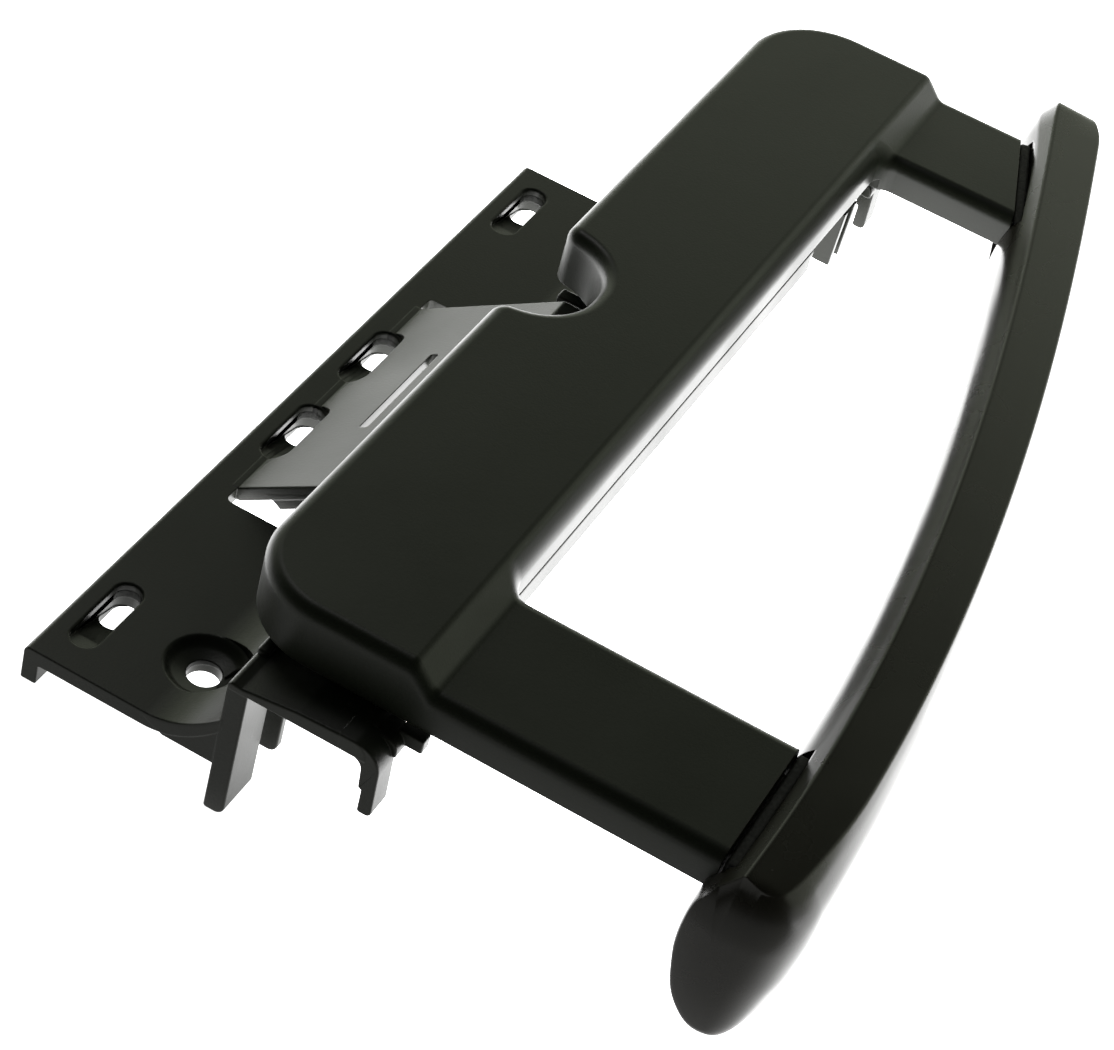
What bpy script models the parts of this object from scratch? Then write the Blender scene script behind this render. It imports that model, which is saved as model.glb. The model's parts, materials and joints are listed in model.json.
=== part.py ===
"""Sliding-door pull handle: a moulded mounting bracket that carries a hinged D-shaped pull with a bowed grip.

Sizes are in millimetres from the bracket plate's near left top corner: X runs from the plate towards the grip,
Y along the handle, Z away from the door. place() turns them into metres from the part's origin, which is the
middle of the plate's back face. The hinged pieces hang from an empty on the hinge axis, and the release
lever's from one on the lever pin's axis.
"""

import math

import bmesh
import bpy
from mathutils import Vector

MM = 0.001
ORIGIN = (3.1, 82.8, -2.9)

# Mounting bracket
PLATE_LENGTH = 165.6
PLATE_THICK = 2.9
FLANGE_LOW = -6.9
FLANGE_HALF = 1.4
MIDDLE_Y = PLATE_LENGTH / 2
CHANNEL_END = 195.0
WEB_LOW = 13.8
WEB_TOP = 17.0
WALL_X = (57.4, 60.0)
RAISED_WALL_Y = (37.2, 156.0)
RAISED_WALL_TOP = 19.6
LEG_LOW = -12.5
LEG_RUN = 8.6
SHOULDER_LOW = 3.7
WINDOW_HALF = 34.6
RAMP_HALF = 31.0
CREASE_X = 4.8
RAMP_TOP_X = 30.6
RAMP_TOP_Z = 16.5
SLOT_X = 4.7
SLOT_OFFSETS = (12.9, 69.2)
SLOT_LENGTH = 16.5
SLOT_WIDTH = 4.8
SCREW_HOLE = (22.5, 68.4)
SCREW_HOLE_R = 2.85
COUNTERBORE_R = 6.2
BUFFER_X = 49.0
BUFFERS = (("near", 64.0), ("far", 140.0))

# Handle cover with its two arms
WALL = 2.4
COVER_LEFT = 26.2
COVER_NEAR = 7.8
COVER_FAR = 211.9
COVER_TOP = 28.5
ARM_TOP = 24.5
COVER_LOW = 17.5
INNER_X = 60.0
INNER_WALL_LOW = 20.0
NEAR_ARM_INNER = 36.0
FAR_ARM_INNER = 185.0
NEAR_ARM_END = 110.0
FILLET = 2.5
NEAR_CORNER_R = 14.6
FAR_CORNER_R = 16.0
FOLD_X = (57.6, 61.4)
NOTCH_Y = 104.5
RUN_ON = 5.0

# Hinge
AXIS_X = 33.5
AXIS_Z = 21.5
PIN_R = 2.0
BUSH_R = 2.9
LUG_R = 4.0
LUG_LONG = 6.0
EAR_THICK = 3.0
CLEARANCE = 0.3
RUNNING_GAP = 0.06
HINGES = {"near": 24.0, "far": 160.0}
HINGE_SPAN = 33.0

# Handle frame inside the cover
FRAME_LOW = 20.3
FRAME_HIGH = 21.8
FRAME_LEFT = 42.0
RIB_HIGH = 25.7
TONGUE_LOW = 18.0
SCREW_POSTS = ((50.0, 26.0), (50.0, 78.0), (50.0, 132.0), (50.0, 201.0))

# Grip
RIDGE_CURVE = ((114.3, 2.6), (118.4, 80.0), (95.6, 170.0), (79.2, 228.9))
RIDGE_Z = 27.0
GRIP_STATIONS = 22
NEAR_CAP_REACH = 5.0
FAR_TIP_REACH = 15.0

# Release lever
LEVER_AXIS = (38.0, 10.0)
LEVER_Y = (178.0, 180.0)
LEVER_RIBS = ((176.0, 177.6), (180.4, 182.0))
LEVER_PIN_R = 1.5
LEVER_HUB_R = 3.4
EYE_SHIFT = (-3.0, -14.0)

ROUND = 20


def place(x, y, z):
    return Vector([(value - zero) * MM for value, zero in zip((x, y, z), ORIGIN)])


def clear_scene():
    for item in list(bpy.data.objects):
        bpy.data.objects.remove(item, do_unlink=True)


def material(name, colour, roughness, metallic=0.0):
    found = bpy.data.materials.get(name)
    if found:
        return found
    made = bpy.data.materials.new(name)
    made.use_nodes = True
    shader = made.node_tree.nodes["Principled BSDF"]
    shader.inputs["Base Color"].default_value = (*colour, 1.0)
    shader.inputs["Roughness"].default_value = roughness
    shader.inputs["Metallic"].default_value = metallic
    return made


def bracket_plastic():
    return material("bracket_plastic", (0.026, 0.027, 0.023), 0.46)


def cover_plastic():
    return material("cover_plastic", (0.024, 0.026, 0.021), 0.42)


def grip_plastic():
    return material("grip_plastic", (0.022, 0.022, 0.019), 0.3)


def frame_nylon():
    return material("frame_nylon", (0.04, 0.04, 0.04), 0.55)


def bush_acetal():
    return material("bush_acetal", (0.75, 0.74, 0.7), 0.35)


def black_rubber():
    return material("black_rubber", (0.015, 0.015, 0.015), 0.8)


def plated_steel():
    return material("plated_steel", (0.55, 0.55, 0.53), 0.32, 1.0)


def spring_steel():
    return material("spring_steel", (0.3, 0.3, 0.31), 0.35, 1.0)


# Mesh building


def solid(name, points, faces, finish=None):
    """An object from millimetre points and faces, with its faces turned outwards."""
    mesh = bpy.data.meshes.new(name)
    mesh.from_pydata([place(*point) for point in points], [], faces)
    shape = bmesh.new()
    shape.from_mesh(mesh)
    bmesh.ops.recalc_face_normals(shape, faces=shape.faces)
    shape.to_mesh(mesh)
    shape.free()
    item = bpy.data.objects.new(name, mesh)
    bpy.context.scene.collection.objects.link(item)
    if finish:
        mesh.materials.append(finish)
        mesh.shade_smooth()
        mesh.set_sharp_from_angle(angle=math.radians(30))
    return item


def loft(name, rings, finish=None):
    """Rings of equal length joined by quads, with the first and the last one filled."""
    count = len(rings[0])
    points = [point for ring in rings for point in ring]
    faces = []
    for start in range(0, len(points) - count, count):
        for i in range(count):
            j = (i + 1) % count
            faces.append((start + i, start + j, start + count + j, start + count + i))
    faces.append(tuple(range(count)))
    faces.append(tuple(range(len(points) - count, len(points))))
    return solid(name, points, faces, finish)


def prism(name, outline, low, high, axis="z", finish=None):
    """A flat outline extruded along z, along y (the outline is x, z) or along x (the outline is y, z)."""
    turn = {
        "z": lambda a, b, c: (a, b, c),
        "y": lambda a, b, c: (a, c, b),
        "x": lambda a, b, c: (c, a, b),
    }[axis]
    rings = [[turn(a, b, c) for a, b in outline] for c in (low, high)]
    return loft(name, rings, finish)


def box(name, x, y, z, finish=None):
    corners = [(x[0], y[0]), (x[1], y[0]), (x[1], y[1]), (x[0], y[1])]
    return prism(name, corners, *z, finish=finish)


def circle(centre, radius, count=ROUND):
    turns = [2 * math.pi * i / count for i in range(count)]
    return [(centre[0] + radius * math.cos(t), centre[1] + radius * math.sin(t)) for t in turns]


def turned(name, centre, profile, axis, finish=None, count=ROUND):
    """A turned piece: profile holds (radius, distance along the axis) steps, and centre is across the axis."""
    rings = []
    for radius, along in profile:
        ring = circle(centre, radius, count)
        rings.append(
            [{"z": (a, b, along), "y": (a, along, b), "x": (along, a, b)}[axis] for a, b in ring]
        )
    return loft(name, rings, finish)


def hull(points):
    """The convex outline round some flat points."""
    ordered = sorted(set(points))

    def half(run):
        kept = []
        for point in run:
            while len(kept) > 1 and cross(kept[-2], kept[-1], point) <= 1e-9:
                kept.pop()
            kept.append(point)
        return kept[:-1]

    return half(ordered) + half(ordered[::-1])


def cross(a, b, c):
    return (b[0] - a[0]) * (c[1] - a[1]) - (b[1] - a[1]) * (c[0] - a[0])


def rounded(corners, steps=5):
    """A closed outline from (x, y, radius) corners, each one turned into an arc."""
    outline = []
    for i, (x, y, radius) in enumerate(corners):
        here = Vector((x, y))
        back = (Vector(corners[i - 1][:2]) - here).normalized()
        ahead = (Vector(corners[(i + 1) % len(corners)][:2]) - here).normalized()
        if radius == 0:
            outline.append((x, y))
            continue
        half_angle = back.angle(ahead) / 2
        centre = here + (back + ahead).normalized() * (radius / math.sin(half_angle))
        first = here + back * (radius / math.tan(half_angle)) - centre
        last = here + ahead * (radius / math.tan(half_angle)) - centre
        for step in range(steps + 1):
            arm = first.slerp(last, step / steps)
            outline.append(tuple(centre + arm.normalized() * radius))
    return outline


def inset(outline, distance):
    """An anticlockwise outline with every side moved inwards by the same distance."""
    moved = []
    for i, point in enumerate(outline):
        here = Vector(point)
        into = (here - Vector(outline[i - 1])).normalized()
        out = (Vector(outline[(i + 1) % len(outline)]) - here).normalized()
        normal = Vector((-into.y - out.y, into.x + out.x)).normalized()
        stretch = normal.dot(Vector((-into.y, into.x)))
        moved.append(tuple(here + normal * (distance / stretch)))
    return moved


def smooth_loop(points, steps):
    """A closed curve through flat points, which starts and ends on a crease at the first one."""
    run = [points[0], *points, points[0], points[0]]
    curve = []
    for i in range(1, len(run) - 2):
        a, b, c, d = (Vector(p) for p in run[i - 1 : i + 3])
        for step in range(steps):
            t = step / steps
            curve.append(
                tuple(
                    0.5
                    * (
                        2 * b
                        + (c - a) * t
                        + (2 * a - 5 * b + 4 * c - d) * t**2
                        + (3 * b - a - 3 * c + d) * t**3
                    )
                )
            )
    return curve


def helper(item):
    item.hide_render = True
    item.display_type = "WIRE"
    return item


def boolean(item, other, operation):
    step = item.modifiers.new(other.name, "BOOLEAN")
    step.object = helper(other)
    step.operation = operation
    step.solver = "EXACT"


def join(item, *others):
    for other in others:
        boolean(item, other, "UNION")


def cut(item, *others):
    for other in others:
        boolean(item, other, "DIFFERENCE")


def hang(name, x, z, items):
    """An empty on a hinge axis along Y, which carries the pieces that turn about it."""
    axis = bpy.data.objects.new(name, None)
    axis.location = place(x, MIDDLE_Y, z)
    bpy.context.scene.collection.objects.link(axis)
    bpy.context.view_layer.update()
    for item in items:
        item.parent = axis
        item.matrix_parent_inverse = axis.matrix_world.inverted()


# Mounting bracket


def mirrored(y):
    return PLATE_LENGTH - y


def both_ends(low, high):
    return ((low, high), (mirrored(high), mirrored(low)))


def plate_profile():
    """The plate's section: a downward flange, the flat, and a hollow curve up to the channel."""
    rise = [(20.5 + 13.1 * i / 6, 7.4 * (i / 6) ** 2) for i in range(7)]
    under = [(x, z - PLATE_THICK) for x, z in reversed(rise)]
    flange = [
        (FLANGE_HALF, -PLATE_THICK),
        (FLANGE_HALF, FLANGE_LOW),
        (-FLANGE_HALF, FLANGE_LOW),
        (-FLANGE_HALF, -1.2),
        (-0.2, 0.0),
    ]
    return rise + under + flange


def web_profile(right):
    """The channel's top: a low left rim, a slightly crowned web and a rounded right shoulder."""
    return [
        (33.2, WEB_LOW),
        (33.2, 14.6),
        (35.0, 15.5),
        (44.0, 16.6),
        (right - 5.0, WEB_TOP),
        (right - 2.6, 16.3),
        (right - 0.9, 14.9),
        (right - 0.2, WEB_LOW),
    ]


def shoulder_profile():
    return [
        (52.0, WEB_LOW),
        (52.0, 16.9),
        (55.0, WEB_TOP),
        (57.4, 15.9),
        (58.9, 13.5),
        (59.5, 10.6),
        (59.8, 4.9),
        (58.8, SHOULDER_LOW),
        (57.3, SHOULDER_LOW),
        (56.8, 8.4),
        (56.5, 11.1),
        (55.2, 12.6),
    ]


def screw_boss_cutters(y):
    hole = turned("screw_hole_cutter", (SCREW_HOLE[0], y), [(SCREW_HOLE_R, -9), (SCREW_HOLE_R, 9)], "z")
    sink = turned("counterbore_cutter", (SCREW_HOLE[0], y), [(COUNTERBORE_R, -0.9), (COUNTERBORE_R, 9)], "z")
    return hole, sink


def slot_outline(y, length, width):
    x0, x1 = SLOT_X - width / 2, SLOT_X + width / 2
    y0, y1 = y - length / 2, y + length / 2
    bend = width / 2 - 0.02
    return rounded([(x0, y0, bend), (x1, y0, bend), (x1, y1, bend), (x0, y1, bend)])


def clip_slots():
    """Collars under the plate, and the cutters of their through slots and sloping lead-ins."""
    collars, cutters = [], []
    for offset in SLOT_OFFSETS:
        for y in (MIDDLE_Y - offset, MIDDLE_Y + offset):
            collar = slot_outline(y, SLOT_LENGTH + 2.6, SLOT_WIDTH + 2.6)
            collars.append(prism("slot_collar", collar, -5.0, -1.5))
            through = slot_outline(y + SLOT_LENGTH / 4, SLOT_LENGTH / 2, SLOT_WIDTH)
            cutters.append(prism("slot_cutter", through, -9, 12))
            lead = slot_outline(y, SLOT_LENGTH, SLOT_WIDTH)
            low = [(x, p, -0.6 + min(0, (y - SLOT_LENGTH / 2 - p) * 0.27)) for x, p in lead]
            high = [(x, p, 12) for x, p in lead]
            cutters.append(loft("lead_in_cutter", [low, high]))
    return collars, cutters


def ramp():
    """The louvre that climbs out of the plate's window to the channel, with a slit along it."""
    low, high = MIDDLE_Y - RAMP_HALF, MIDDLE_Y + RAMP_HALF
    section = [
        (CREASE_X - 1.0, 0.0),
        (CREASE_X, 0.0),
        (RAMP_TOP_X, RAMP_TOP_Z),
        (34.5, RAMP_TOP_Z),
        (34.5, WEB_LOW),
        (31.0, WEB_LOW),
        (CREASE_X + 0.8, -2.6),
        (CREASE_X - 1.0, -2.6),
    ]
    sheet = prism("ramp_sheet", section, low, high, "y")
    rib_section = [(10.0, 1.8), (31.5, 15.0), (31.5, 12.2), (13.0, 0.0)]
    ribs = [prism("ramp_rib", rib_section, y, y + 2.4, "y") for y in (low, high - 2.4)]
    slit = box("ramp_slit_cutter", (15.6, 17.0), (71.0, 96.0), (-2, 14))
    return sheet, ribs, slit


def end_legs():
    """Deep legs at the plate's two ends and the shoulders at the channel's two ends."""
    legs = []
    leg = rounded([(33.0, LEG_LOW, 0.6), (36.6, LEG_LOW, 1.6), (36.6, 15.0, 0), (33.0, 14.4, 0)])
    for low, high in both_ends(0.0, LEG_RUN):
        legs.append(prism("deep_leg", leg, low, high, "y"))
    filler = [(20.5, -1.0), (33.4, -1.0), (33.4, 6.6), (28.0, 2.2), (23.0, 0.1), (20.5, -0.4)]
    skirt = [(24.0, -PLATE_THICK), (33.4, -PLATE_THICK), (33.4, 6.6), (28.0, 2.2), (23.5, -0.4)]
    for low, high in both_ends(0.0, 3.0):
        legs.append(prism("end_filler", hull(filler + skirt), low, high, "y"))
    for low, high in ((0.0, 5.0), (CHANNEL_END - 5.0, CHANNEL_END)):
        legs.append(prism("end_shoulder", shoulder_profile(), low, high, "y"))
    for low, high in ((4.0, 9.0), (CHANNEL_END - 9.0, CHANNEL_END - 4.0)):
        legs.append(prism("side_shoulder", web_profile(60.0), low, high, "y"))
    return legs


def channel_walls():
    """The web, the upright that joins it to the plate, and the raised wall under the handle's inner side."""
    walls = [prism("channel_web", web_profile(57.2), 0.0, CHANNEL_END, "y")]
    for low, high in both_ends(4.0, MIDDLE_Y - WINDOW_HALF):
        walls.append(box("upright", (33.0, 35.6), (low, high), (1.5, 15.0)))
    for y in ((160.0, 174.5), (183.5, CHANNEL_END)):
        walls.append(box("far_upright", (33.0, 35.6), y, (4.0, 15.0)))
    left, right = WALL_X
    foot = [(left, WEB_LOW, 0), (right, WEB_LOW, 0.8)]
    crown = [(right, RAISED_WALL_TOP, 0.5), (left, RAISED_WALL_TOP, 0.5)]
    walls.append(prism("raised_wall", rounded(foot + crown, steps=3), *RAISED_WALL_Y, "y"))
    walls.append(box("wall_foot", (54.0, 58.2), RAISED_WALL_Y, (WEB_LOW, 16.2)))
    walls.append(box("locating_lug", (58.5, 62.8), (6.4, 8.9), (14.3, 16.9)))
    return walls


def stiffening_ribs():
    """Cross ribs under the web, among them the pair that holds the release lever."""
    ribs = []
    near_pair = ((12.0, 38.0, -7.6), (15.4, 39.9, -1.8))
    for y, right, low in near_pair:
        outline = rounded([(34.0, low, 0), (right, low, 1.6), (right, WEB_LOW + 1, 0), (34.0, WEB_LOW + 1, 0)])
        ribs.append(prism("near_rib", outline, y, y + 1.6, "y"))
    for y in (48.2, 80.0, 112.0, 144.0):
        outline = [(34.0, 8.0), (38.0, 6.5), (56.5, 9.5), (56.5, WEB_LOW + 1), (34.0, WEB_LOW + 1)]
        ribs.append(prism("cross_rib", outline, y, y + 1.8, "y"))
    x, z = LEVER_AXIS
    fork = hull(circle((x, z), 4.2) + [(34.5, 14.8), (58.8, 14.8), (58.7, 2.7), (56.0, 2.7)])
    for low, high in LEVER_RIBS:
        ribs.append(prism("fork_rib", fork, low, high, "y"))
    return ribs


def hinge_ears():
    """Two pairs of ears on the web, each pair with one hinge pin through it."""
    ears = []
    for start in HINGES.values():
        for low in (start, start + HINGE_SPAN - EAR_THICK):
            outline = hull(circle((AXIS_X, AXIS_Z), LUG_R) + [(33.6, 14.6), (40.2, 14.6), (40.2, 17.4)])
            ears.append(prism("hinge_ear", outline, low, low + EAR_THICK, "y"))
    return ears


def mounting_bracket():
    plate = prism("mounting_bracket", plate_profile(), 0.0, PLATE_LENGTH, "y", bracket_plastic())
    window_y = (MIDDLE_Y - WINDOW_HALF, MIDDLE_Y + WINDOW_HALF)
    cut(plate, box("window_cutter", (CREASE_X, 40.0), window_y, (-9, 12.5)))
    collars, slot_cutters = clip_slots()
    sheet, ramp_ribs, slit = ramp()
    join(plate, sheet, *ramp_ribs, *collars, *channel_walls(), *end_legs(), *stiffening_ribs(), *hinge_ears())
    cut(plate, slit, *slot_cutters)
    for y in (MIDDLE_Y - SCREW_HOLE[1], MIDDLE_Y + SCREW_HOLE[1]):
        cut(plate, *screw_boss_cutters(y))
    for start in HINGES.values():
        bore = [(PIN_R + RUNNING_GAP, start - 5), (PIN_R + RUNNING_GAP, start + HINGE_SPAN + 5)]
        cut(plate, turned("ear_bore_cutter", (AXIS_X, AXIS_Z), bore, "y"))
    for _, y in BUFFERS:
        cut(plate, turned("buffer_hole_cutter", (BUFFER_X, y), [(2.6, 8), (2.6, 20)], "z"))
    slot_y = (LEVER_Y[0] - CLEARANCE, LEVER_Y[1] + CLEARANCE)
    cut(plate, box("hook_slot_cutter", (47.5, 61.0), slot_y, (9, 20)))
    cut(plate, box("lever_relief_cutter", (39.5, 48.0), slot_y, (9, 15.0)))
    bore = [(LEVER_PIN_R + RUNNING_GAP, 170), (LEVER_PIN_R + RUNNING_GAP, 188)]
    cut(plate, turned("lever_bore_cutter", LEVER_AXIS, bore, "y", count=16))
    return plate


# Pieces on the bracket


def hinge_pins():
    """A headed pin through each pair of ears, held by a push-on ring in its groove."""
    pieces = []
    for side, start in HINGES.items():
        end = start + HINGE_SPAN
        profile = [
            (3.2, start - 1.9),
            (3.6, start - 1.5),
            (3.6, start - CLEARANCE),
            (PIN_R, start - CLEARANCE),
            (PIN_R, end + 0.6),
            (PIN_R - 0.4, end + 0.6),
            (PIN_R - 0.4, end + 1.5),
            (PIN_R, end + 1.5),
            (PIN_R, end + 2.3),
            (PIN_R - 0.6, end + 2.8),
        ]
        pieces.append(turned("hinge_pin_" + side, (AXIS_X, AXIS_Z), profile, "y", plated_steel()))
        pieces.append(retaining_ring("hinge_pin_ring_" + side, (AXIS_X, AXIS_Z), end + 0.7, 3.6, 1.75))
    return pieces


def retaining_ring(name, centre, y, outer, inner):
    """A flat open ring that clips into a pin's groove."""
    gap = math.radians(35)
    count = 14
    turns = [gap + (2 * math.pi - 2 * gap) * i / count for i in range(count + 1)]
    outside = [(centre[0] + outer * math.cos(t), centre[1] + outer * math.sin(t)) for t in turns]
    inside = [(centre[0] + inner * math.cos(t), centre[1] + inner * math.sin(t)) for t in reversed(turns)]
    return prism(name, outside + inside, y, y + 0.7, "y", spring_steel())


def stop_buffers():
    """Push-in rubber buffers that the closed handle rests on."""
    pieces = []
    for side, y in BUFFERS:
        barb = [(1.6, 10.2), (3.0, 11.4), (3.0, 12.6), (2.2, 13.4), (2.2, WEB_TOP + CLEARANCE)]
        pad = [(4.3, WEB_TOP + CLEARANCE), (4.5, 18.4), (3.6, FRAME_LOW - CLEARANCE)]
        pieces.append(turned("stop_buffer_" + side, (BUFFER_X, y), barb + pad, "z", black_rubber()))
    return pieces


def return_spring():
    """A torsion spring round the near hinge pin, with one leg on the web and the other on the handle frame."""
    wire, mean, coils = 0.65, 3.1, 5.0
    start = HINGES["near"] + EAR_THICK + LUG_LONG + 1.9
    pitch = 2 * wire + 0.25
    path = [(AXIS_X + 7.0, start, AXIS_Z - mean), (AXIS_X + 3.5, start, AXIS_Z - mean)]
    steps = int(coils * 12) + 6
    for i in range(steps + 1):
        turn = -math.pi / 2 - 2 * math.pi * i / 12
        along = start + pitch * i / 12
        path.append((AXIS_X + mean * math.cos(turn), along, AXIS_Z + mean * math.sin(turn)))
    end = path[-1][1]
    path += [(AXIS_X + 4.0, end, AXIS_Z + mean - 0.7), (AXIS_X + 9.2, end, FRAME_HIGH + 1.0)]
    data = bpy.data.curves.new("return_spring", "CURVE")
    data.dimensions = "3D"
    data.bevel_depth = wire * MM
    data.bevel_resolution = 1
    data.use_fill_caps = True
    spline = data.splines.new("POLY")
    spline.points.add(len(path) - 1)
    for point, where in zip(spline.points, path):
        point.co = (*place(*where), 1.0)
    data.materials.append(spring_steel())
    spring = bpy.data.objects.new("return_spring", data)
    bpy.context.scene.collection.objects.link(spring)
    return spring


def lever_pin():
    x, z = LEVER_AXIS
    head = LEVER_RIBS[0][0] - CLEARANCE
    groove = LEVER_RIBS[1][1] + 0.5
    profile = [
        (2.2, head - 1.3),
        (2.6, head - 1.0),
        (2.6, head),
        (LEVER_PIN_R, head),
        (LEVER_PIN_R, groove),
        (LEVER_PIN_R - 0.35, groove),
        (LEVER_PIN_R - 0.35, groove + 0.9),
        (LEVER_PIN_R, groove + 0.9),
        (LEVER_PIN_R, groove + 1.5),
        (LEVER_PIN_R - 0.5, groove + 1.9),
    ]
    pin = turned("lever_pin", (x, z), profile, "y", plated_steel(), count=16)
    ring = retaining_ring("lever_pin_ring", (x, z), groove + 0.1, 2.9, 1.3)
    return pin, ring


def lever_eye():
    return LEVER_AXIS[0] + EYE_SHIFT[0], LEVER_AXIS[1] + EYE_SHIFT[1]


def release_lever():
    """A flat bell crank: the handle's hook lifts its tip, and the cable eye on its lower arm swings."""
    x, z = LEVER_AXIS
    hub = circle(LEVER_AXIS, LEVER_HUB_R)
    tip = circle((x + 12.0, z - 0.4), 1.5, 12)
    eye = circle(lever_eye(), 3.0, 16)
    plate = prism("release_lever", hull(hub + tip), *LEVER_Y, "y", plated_steel())
    join(plate, prism("lever_arm", hull(hub + eye), *LEVER_Y, "y"))
    for centre, radius in ((LEVER_AXIS, LEVER_PIN_R + RUNNING_GAP), (lever_eye(), 1.6)):
        bore = [(radius, LEVER_Y[0] - 2), (radius, LEVER_Y[1] + 2)]
        cut(plate, turned("lever_bore_cutter", centre, bore, "y", count=16))
    return plate


def cable_nipple_clip():
    """The plastic snap clip in the lever's eye, which takes a cable end."""
    x, z = lever_eye()
    profile = [(2.6, 175.6), (2.6, 177.7), (1.3, 177.7), (1.3, 180.3), (2.0, 180.4), (1.2, 181.4)]
    clip = turned("cable_nipple_clip", (x, z), profile, "y", bush_acetal(), count=16)
    cut(clip, box("nipple_slot_cutter", (x - 0.8, x + 0.8), (175.0, 177.0), (z - 4, z + 4)))
    return clip


# Handle cover and frame


def far_end_line():
    """The far arm's slanted end: its inner corner, and unit steps along it and out of it."""
    start, end = Vector((87.0, FAR_ARM_INNER)), Vector((78.2, COVER_FAR))
    along = (end - start).normalized()
    return start, along, Vector((along.y, -along.x)), (end - start).length


def near_end_line():
    start, end = Vector((NEAR_ARM_END, COVER_NEAR)), Vector((NEAR_ARM_END, NEAR_ARM_INNER))
    along = (end - start).normalized()
    return start, along, Vector((along.y, -along.x)), (end - start).length


def cover_outline(steps=5):
    """The cover's plan, with the arms run on past their ends, where they are cut off square."""
    start, along, out, length = far_end_line()
    far = start + out * RUN_ON
    far_tip = far + along * length
    near_x = NEAR_ARM_END + RUN_ON
    return rounded(
        [
            (COVER_LEFT, COVER_NEAR, NEAR_CORNER_R),
            (near_x, COVER_NEAR, 3.4),
            (near_x, NEAR_ARM_INNER, 3.4),
            (INNER_X, NEAR_ARM_INNER, 3.5),
            (INNER_X, FAR_ARM_INNER, 3.5),
            (far.x + 1.7, FAR_ARM_INNER, 3.4),
            (far_tip.x - 1.7, COVER_FAR, 3.4),
            (COVER_LEFT, COVER_FAR, FAR_CORNER_R),
            (COVER_LEFT, NOTCH_Y + 12.2, 3.2),
            (COVER_LEFT + 12.2, NOTCH_Y + 9.7, 10.8),
            (COVER_LEFT + 12.2, NOTCH_Y - 9.7, 10.8),
            (COVER_LEFT, NOTCH_Y - 12.4, 3.4),
        ],
        steps,
    )


def cover_shell():
    """Nested rings: up the outer wall, round the top fillet, and back down the inside."""
    outline = cover_outline()

    def ring(distance, z):
        return [(x, y, z) for x, y in inset(outline, distance)]

    rings = [ring(WALL, COVER_TOP - WALL), ring(WALL, COVER_LOW), ring(0.0, COVER_LOW)]
    for step in range(4):
        turn = math.radians(30 * step)
        sideways, up = FILLET * (1 - math.cos(turn)), FILLET * math.sin(turn)
        rings.append(ring(sideways, COVER_TOP - FILLET + up))
    return loft("handle_cover", rings, cover_plastic())


def lower_arms(item):
    """Bends the top down to the arms' height: everything above the walls steps down across the fold."""
    shape = bmesh.new()
    shape.from_mesh(item.data)
    for x in FOLD_X:
        everything = shape.verts[:] + shape.edges[:] + shape.faces[:]
        bmesh.ops.bisect_plane(shape, geom=everything, plane_co=place(x, 0, 0), plane_no=(1, 0, 0))
    walls_end = place(0, 0, COVER_LOW).z + 1e-6
    for vert in shape.verts:
        if vert.co.z > walls_end:
            across = (vert.co.x - place(FOLD_X[0], 0, 0).x) / ((FOLD_X[1] - FOLD_X[0]) * MM)
            vert.co.z -= (COVER_TOP - ARM_TOP) * MM * min(1.0, max(0.0, across))
    shape.to_mesh(item.data)
    shape.free()


def end_block(name, line, out, along, z, finish=None):
    """A block placed from an arm's end: out from its face, along it, and between two heights."""
    start, step, normal, _ = line
    corners = [(out[0], along[0]), (out[1], along[0]), (out[1], along[1]), (out[0], along[1])]
    outline = [tuple(start + normal * a + step * b) for a, b in corners]
    return prism(name, outline, *z, finish=finish)


def handle_cover():
    cover = cover_shell()
    lower_arms(cover)
    relief_y = (NEAR_ARM_INNER + 1, FAR_ARM_INNER - 0.6)
    cut(cover, box("wall_relief_cutter", (50.0, 61.0), relief_y, (10, INNER_WALL_LOW)))
    for line in (near_end_line(), far_end_line()):
        cut(cover, end_block("arm_end_cutter", line, (0, 20), (-9, line[3] + 9), (10, 40)))
    for x, y in SCREW_POSTS:
        join(cover, turned("screw_post", (x, y), [(2.6, 22.1), (2.6, 26.6)], "z", count=14))
        cut(cover, turned("post_hole_cutter", (x, y), [(1.1, 20), (1.1, 26.3)], "z", count=14))
    return cover


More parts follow.
